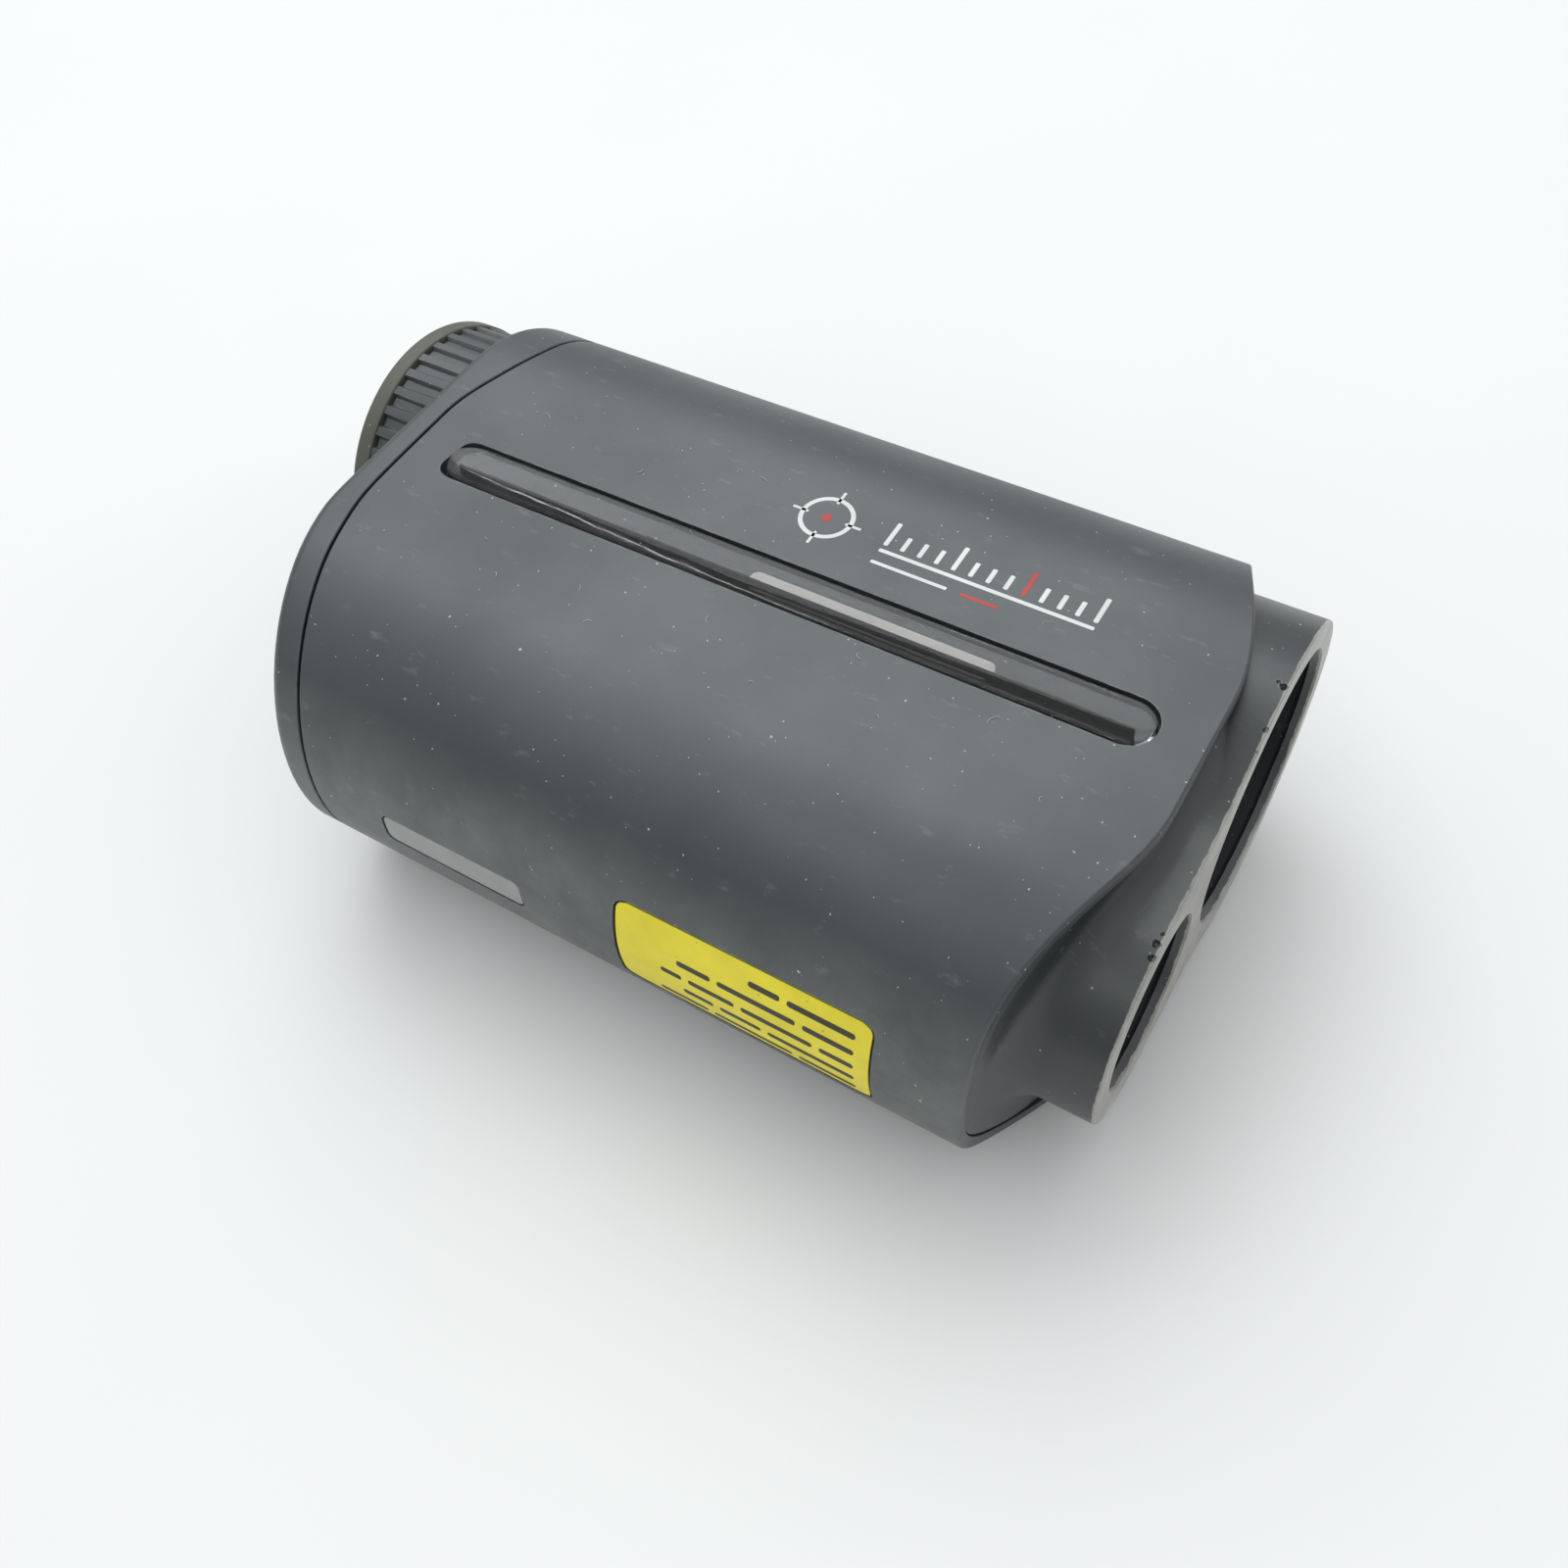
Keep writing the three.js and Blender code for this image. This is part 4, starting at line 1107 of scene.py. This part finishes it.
def slot_dome(name, x, length, width, foot, height_at, edge):
    """Slot-shaped block whose top follows height_at(x, z) and is rounded at its edge."""
    rings = [[(px, foot, pz) for px, pz in slot_outline(x, MID, length, width, 24)]]

    def add_ring(shrink, drop):
        outline = slot_outline(x, MID, length - 2 * shrink, width - 2 * shrink, 24)
        rings.append([(px, height_at(px, pz) - drop, pz) for px, pz in outline])

    steps = 6
    for k in range(steps + 1):
        a = math.pi / 2 * k / steps
        add_ring(edge * (1 - math.cos(a)), edge * (1 - math.sin(a)))
    inner = width - 2 * edge
    for k in range(1, 8):
        add_ring(edge + inner / 2 * k / 8, 0)
    return loft(name, rings, caps=True)


def make_bezel():
    bezel = slot_dome("bezel_body", BEZEL_X, BEZEL_LENGTH, BEZEL_WIDTH, BEZEL_LOW.y,
                      lambda x, z: upper_surface(z) - 0.1, 0.35)
    holes = []
    for node in ("measure_button", "mode_button"):
        x, length, width = key_box(node)
        holes.append(slot_dome("hole", x, length + 0.6, width + 0.6, 25, lambda x, z: 45, 0.1))
    cut(bezel, *holes)
    finish_piece(bezel, "housing", BEZEL_BLACK, ["button_bezel"])
    even_shading(bezel)


def make_button(node, body, nub_places):
    """Dished rubber key on a flange, with small nubs to feel."""
    x, length, width = key_box(node)
    low, high = node_box(node)
    foot = low.y + 0.1

    def crown(px, pz):
        dish = 0.5 * max(0, 1 - ((px - x) / (length / 2)) ** 2 - ((pz - MID) / (width / 2)) ** 2)
        return high.y - 0.25 - 0.05 * abs(pz - MID) - dish * 0.5

    key = slot_dome(node + "_cap", x, length, width, foot, crown, 0.9)
    around = slot_outline(x, MID, length + 2 * KEY_FLANGE, width + 2 * KEY_FLANGE, 24)
    pieces = [prism("flange", around, "y", foot, foot + 0.8)]
    for along in nub_places:
        rings = []
        for rise, r in ((-0.1, 0.6), (0.12, 0.5), (0.22, 0.25), (0.25, 0)):
            level = crown(x + along, MID) + rise
            rings.append([(x + along + u, level, MID + v) for u, v in circle(r, 32)])
        pieces.append(loft("nub", rings))
    join(key, *pieces)
    finish_piece(key, body, BUTTON, [node])


make_bezel()
make_button("measure_button", "measure_key", (-3, 0, 3))
make_button("mode_button", "mode_key", (0,))

# ---- eyepiece
RIBS = 40
RIB_R = 17.0
PER_RIB = 16    # points on one rib and valley
VALLEY = 0.45
NOTCH = 0.95    # deeper hollow where a valley meets the eyecup
TUBE_BORE = 12.4


def rib_radius(t, top, valley):
    """Radius over one pitch: a flat rib with rounded corners and a valley."""
    rise = smooth(0.0, 0.1, t) - smooth(0.52, 0.62, t)
    return valley + (top - valley) * rise


def make_diopter_ring():
    back, front = node_box("eyecup")[1].x, node_box("diopter_ring")[1].x
    length = front - back
    count = RIBS * PER_RIB
    stations = [(0.0, 0.0, NOTCH), (0.22, 0.0, NOTCH), (0.34, 0.0, VALLEY), (2.5, 0.0, VALLEY)]
    stations += [(length - 2.5, 0.0, VALLEY)]
    stations += [(length + x, -r, VALLEY) for x, r in fillet(-0.4, -0.4, 0.4, 90, 0, 4)]
    bore = circle(TUBE_R + 0.4, count)
    rings = [[(back, EYE_Y + v, MID + w) for v, w in bore]]
    for x, drop, depth in stations:
        ring = []
        for k, (c, s) in enumerate(circle(1, count)):
            r = rib_radius((k % PER_RIB) / PER_RIB, RIB_R - drop, RIB_R - depth - 0.6 * drop)
            ring.append((back + x, EYE_Y + r * c, MID + r * s))
        rings.append(ring)
    rings.append([(front, EYE_Y + v, MID + w) for v, w in bore])
    ring = loft("focus_grip", rings, loop=True, crease=40)
    finish_piece(ring, "focus_ring", FRAME, ["diopter_ring"])


def make_eyecup():
    low, high = node_box("eyecup")
    r = (high.z - low.z) / 2
    opening = 11.3
    back, front = low.x, high.x
    profile = [(front, opening), (back + 1.4, opening)]
    profile += fillet(back + 0.5, opening + 0.6, 0.5, 270, 180, 6)
    profile += [(back + 0.05, 13.5), (back, 15.0)]
    profile += fillet(back + 0.7, r - 0.7, 0.7, 180, 90, 8)
    profile += fillet(front - 0.25, r - 0.25, 0.25, 90, 0, 4)
    cup = turned("rubber_cup", profile, EYE_Y, segments=192)
    finish_piece(cup, "focus_ring", EYECUP, ["eyecup"])


def make_tube():
    low, high = node_box("eyepiece_tube")
    edge = 0.3
    collar_rear, collar_front, collar = -95.5, -94, 15.1
    profile = [(high.x, TUBE_BORE), (low.x + edge, TUBE_BORE), (low.x, TUBE_BORE + edge),
               (low.x, TUBE_R - edge), (low.x + edge, TUBE_R), (collar_rear, TUBE_R), (collar_rear, collar),
               (collar_front, collar), (collar_front, TUBE_R), (high.x, TUBE_R)]
    tube = turned("sight_tube", profile, EYE_Y, segments=128)
    finish_piece(tube, "housing", INNER, ["eyepiece_tube"])


def make_ocular_cell():
    """Sliding sleeve with a stop in front and a low ridge between its two lenses."""
    rear, front, stop = -105.4, -93, 9
    outer, bore, ridge = 12, 10.4, 10.4 - 0.2
    profile = [(front - 1, stop), (front, stop), (front, outer - 0.3), (front - 0.3, outer),
               (rear + 0.3, outer), (rear, outer - 0.3), (rear, bore + 0.2), (rear + 0.2, bore),
               (-100, bore), (-100, ridge), (-99.6, ridge), (-99.6, bore), (front - 1, bore)]
    cell = turned("lens_cell", profile, EYE_Y, segments=128)
    finish_piece(cell, "ocular", INNER, ["ocular_cell"])


def make_lens(node, body, material, y, rear_bulge, front_bulge):
    low, high = node_box(node)
    r = (high.z - low.z) / 2
    rear, front = low.x + rear_bulge, high.x - front_bulge
    shares = [k / 12 for k in range(13)]
    profile = [(rear - rear_bulge * (1 - t * t), (r - 0.2) * t) for t in shares]
    profile += [(rear + 0.15, r), (front - 0.15, r)]
    profile += [(front + front_bulge * (1 - t * t), (r - 0.2) * t) for t in reversed(shares)]
    piece = turned(node + "_glass", profile, y, segments=96, crease=50)
    finish_piece(piece, body, material, [node])


def make_retainer(node, body, y, inner, outward):
    """Ring with two notches for a pin wrench in its outward face."""
    low, high = node_box(node)
    outer = (high.z - low.z) / 2
    profile = [(low.x, inner + 0.2), (low.x + 0.2, inner), (high.x - 0.3, inner), (high.x, inner + 0.3),
               (high.x, outer - 0.2), (high.x - 0.2, outer), (low.x, outer)]
    ring = turned(node + "_ring", profile, y, segments=96)
    bottom = high.x - 0.5 if outward > 0 else low.x + 0.5
    limit = max if outward > 0 else min
    notches = []
    for side in (1, -1):
        a = y + side * (inner + outer) / 2
        block = rounded_outline(low.x - 1, high.x + 1, a - 1, a + 1, 0.1, 2)
        outline = [(limit(px, bottom), py) for px, py in block]
        notches.append(prism("notch", outline, "z", MID - 0.6, MID + 0.6))
    cut(ring, *notches)
    finish_piece(ring, body, INNER, [node])


make_diopter_ring()
make_eyecup()
make_tube()
make_ocular_cell()
make_lens("eye_lens", "ocular", EYE_GLASS, EYE_Y, 0.9, 1.4)
make_lens("field_lens", "ocular", EYE_GLASS, EYE_Y, 0.9, 1.2)
make_lens("objective_lens", "housing", OBJECTIVE_GLASS, OBJECTIVE_Y, 0.5, 1.9)
make_lens("receiver_lens", "housing", OBJECTIVE_GLASS, RECEIVER_Y, 0.3, 1.3)
make_retainer("ocular_retainer", "ocular", EYE_Y, 9.0, -1)
make_retainer("objective_retainer", "housing", OBJECTIVE_Y, 13.4, 1)
make_retainer("receiver_retainer", "housing", RECEIVER_Y, 7.7, 1)


# ---- battery, cap and screws
BATTERY_R = 7.8
BATTERY_START = 5.3    # depth of its near end below the rear face
BATTERY_END = BATTERY_START + 27
CAP_DEPTH = 3.2
SPRING_TURNS = 3.25
SPRING_WIRE = 0.22


def make_cap():
    """Cap with a seal groove, a raised edge and a slot for a coin."""
    groove = CAP_R - 1.1
    profile = [(CAP_DEPTH, 0), (CAP_DEPTH, CAP_R - 0.3), (CAP_DEPTH - 0.3, CAP_R), (2.4, CAP_R),
               (2.4, groove), (1.3, groove), (1.3, CAP_R), (-0.3, CAP_R)]
    profile += fillet(-0.3, CAP_R - 0.6, 0.6, 90, 180, 6)
    profile += [(-0.86, 8.6), (-0.8, 8.4), (-0.45, 8.2), (-0.45, 0)]
    cap = tilted("battery_cap_shell", profile, 144)
    ellipse = [(7.2 * c, 1.1 * s) for c, s in circle(1, 48)]
    rings = [[battery_place((u, share * v, share * w)) for v, w in ellipse]
             for u, share in ((-3, 1.1), (-0.5, 1.06), (-0.3, 1), (0.6, 0.97))]
    cut(cap, loft("coin_slot", rings, caps=True))
    finish_piece(cap, "door", FRAME, ["battery_cap"])
    seal = tilted("seal_ring", fillet(1.85, CAP_R - 0.45, 0.38, 0, 337.5, 15), 128, 60)
    finish_piece(seal, "door", SEAL, ["cap_seal"])
    for side in (1, -1):
        dot = tilted("cap_dot", [(-0.47, 0), (-0.47, 0.5), (-0.44, 0.5), (-0.44, 0)], 24)
        move = Vector(battery_place((0, 0, 0))) - Vector(battery_place((0, 0, side * 5.6)))
        dot.data.transform(Matrix.Translation(move * MM))
        finish_piece(dot, "door", WHITE_INK)


def make_spring():
    """Coil that presses on the battery."""
    start, end = CAP_DEPTH + 0.05, BATTERY_START - 0.15
    rings = []
    steps = 160
    for k in range(steps + 1):
        t = k / steps
        a = 2 * math.pi * SPRING_TURNS * t
        r = 3.8 - 1.8 * t
        u = start + SPRING_WIRE + (end - start - 2 * SPRING_WIRE) * t
        rings.append([battery_place((u + up, (r + out) * math.cos(a), (r + out) * math.sin(a)))
                      for out, up in circle(SPRING_WIRE, 8)])
    finish_piece(loft("cap_coil", rings, caps=True), "door", BRASS, ["cap_spring"])


def make_battery():
    start, end, r = BATTERY_START, BATTERY_END, BATTERY_R
    profile = [(start, 0), (start, 6.8), (start + 0.25, 7.1), (start + 0.25, 7.3)]
    profile += fillet(start + 0.6, r - 0.5, 0.5, 180, 90, 5)
    profile += fillet(end - 1.5, r - 0.5, 0.5, 90, 0, 5)
    profile += [(end - 1, 3.2), (end - 0.9, 2.9), (end - 0.15, 2.7), (end, 2.5), (end, 0)]
    can = tilted("lithium_can", profile, 96)
    finish_piece(can, "cell", CASE, ["battery"])
    first, last = start + 1.4, end - 2.6
    under, over = r - 0.05, r + 0.06
    wrap = tilted("cell_wrap", [(first, under), (first, over), (last, over), (last, under)], 96)
    finish_piece(wrap, "cell", INNER)


def make_screw(node):
    """Pan-head screw with a cross recess."""
    low, high = node_box(node)
    y, z = axis_of(node)
    seat = rear_face(y) + SCREW_SEAT
    head = seat - 1.4
    profile = [(head, 0), (head, 1.2), (head + 0.12, 1.45), (head + 0.5, 1.85), (head + 0.7, 1.9),
               (seat - 0.1, 1.9), (seat - 0.1, 1.0), (high.x, 1.0), (high.x, 0)]
    screw = turned(node + "_head", profile, y, z, 48)
    arms = []
    for a, b in ((1.05, 0.27), (0.27, 1.05)):
        outline = [(y - a, z - b), (y + a, z - b), (y + a, z + b), (y - a, z + b)]
        rings = [[(x, y + (py - y) * s, z + (pz - z) * s) for py, pz in outline]
                 for x, s in ((head - 0.5, 1.1), (head + 0.7, 0.6))]
        arms.append(loft("arm", rings, caps=True))
    cut(screw, *arms)
    finish_piece(screw, "housing", STEEL, [node])


make_cap()
make_spring()
make_battery()
make_screw("cover_screw_1")
make_screw("cover_screw_2")


# ---- dust and lint
FIBRE_R = 0.025
LINT_PLACES = ((-84, 10), (-79, -8), (-66, -9), (-58, 12.5), (-31, -10), (-22, -6), (-14, -11), (-88, 2),
               (-70, 8), (-52, -6.5), (-44, -12), (-62, -12.5), (-75, -11.5), (-36, -4.5))


def fibre(name, start, heading, length, lift, turn):
    """Curled hair-thin fibre that lies on the right flat side."""
    rings = []
    x, y = start
    steps = 24
    for k in range(steps + 1):
        t = k / steps
        heading += turn / steps
        x += length / steps * math.cos(heading)
        y += length / steps * math.sin(heading)
        z = TOP + 0.03 + lift * math.sin(math.pi * t)
        rings.append([(x - out * math.sin(heading), y + out * math.cos(heading), z + up)
                      for out, up in circle(FIBRE_R, 5)])
    finish_piece(loft(name, rings, caps=True), "housing", FIBRE)


for place in LINT_PLACES:
    fibre("lint", place, random.uniform(0, 6.28), random.uniform(0.5, 1.6), random.uniform(0.02, 0.12),
          random.uniform(-3, 3))

# ---- pieces carried over from the CAD
CARRIED = (
    (INNER, ("optical_chassis", "receiver_cone", "battery_tube")),
    (PRISM_GLASS, ("prism_block", "display_panel")),
    (BRASS, ("laser_module", "battery_contact")),
    (BOARD, ("detector_board", "main_board", "light_board", "button_board")),
    (STEEL, ("detector_can", "speaker", "measure_switch", "mode_switch", "tie_rod_1", "tie_rod_2")),
)
for material, nodes in CARRIED:
    for node in nodes:
        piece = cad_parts[node]
        piece.data.materials.clear()
        piece.data.materials.append(material)


# ---- floor and light
def make_floor():
    size = 1.6
    steps = 24
    bm = bmesh.new()
    bmesh.ops.create_grid(bm, x_segments=steps, y_segments=steps, size=size / 2)
    mesh = bpy.data.meshes.new("floor")
    bm.to_mesh(mesh)
    bm.free()
    floor = bpy.data.objects.new("floor", mesh)
    bpy.context.scene.collection.objects.link(floor)
    n = Nodes("white_table")
    mottle = n.span(n.noise(9, 3), 0.3, 0.7)
    n.shade(Base_Color=n.blend(mottle, (0.76, 0.755, 0.745, 1), (0.78, 0.775, 0.765, 1)))
    n.shade(Roughness=n.span(n.noise(14, 3), 0.3, 0.7, 0.55, 0.65))
    mesh.materials.append(n.material)


def area_light(name, direction, distance, size, radiance, tint):
    """Rectangular light that faces the origin from a direction."""
    direction = Vector(direction).normalized()
    data = bpy.data.lights.new(name, "AREA")
    data.shape = "RECTANGLE"
    data.size, data.size_y = size
    data.energy = radiance * math.pi * size[0] * size[1]
    data.color = tint
    light = bpy.data.objects.new(name, data)
    bpy.context.scene.collection.objects.link(light)
    turn = direction.to_track_quat("Z", "Y").to_matrix().to_4x4()
    light.matrix_world = Matrix.Translation(direction * distance) @ turn


def make_world():
    """Room that is brighter overhead than at the horizon."""
    world = bpy.data.worlds.new("studio")
    bpy.context.scene.world = world
    world.use_nodes = True
    tree = world.node_tree
    background = tree.nodes["Background"]
    place = tree.nodes.new("ShaderNodeTexCoord")
    dot = tree.nodes.new("ShaderNodeVectorMath")
    dot.operation = "DOT_PRODUCT"
    dot.inputs[1].default_value = Vector((0.0, 0.2, 0.98)).normalized()
    tree.links.new(place.outputs["Generated"], dot.inputs[0])
    ramp_node = tree.nodes.new("ShaderNodeMapRange")
    for socket, value in (("From Min", 0), ("From Max", 1), ("To Min", 0.48), ("To Max", 1.12)):
        ramp_node.inputs[socket].default_value = value
    tree.links.new(dot.outputs["Value"], ramp_node.inputs["Value"])
    tree.links.new(ramp_node.outputs["Result"], background.inputs["Strength"])
    background.inputs["Color"].default_value = (0.96, 0.98, 1.0, 1)


make_floor()
area_light("overhead_softbox", (-0.36, 0.465, 0.81), 2.2, (1.75, 1.65), 2.1, (0.95, 1.0, 1.02))
area_light("ceiling_tube", (-0.36, -0.29, 0.89), 2.0, (2.0, 0.05), 12, (0.97, 1.0, 1.02))
make_world()
bpy.context.scene.view_settings.view_transform = "Standard"
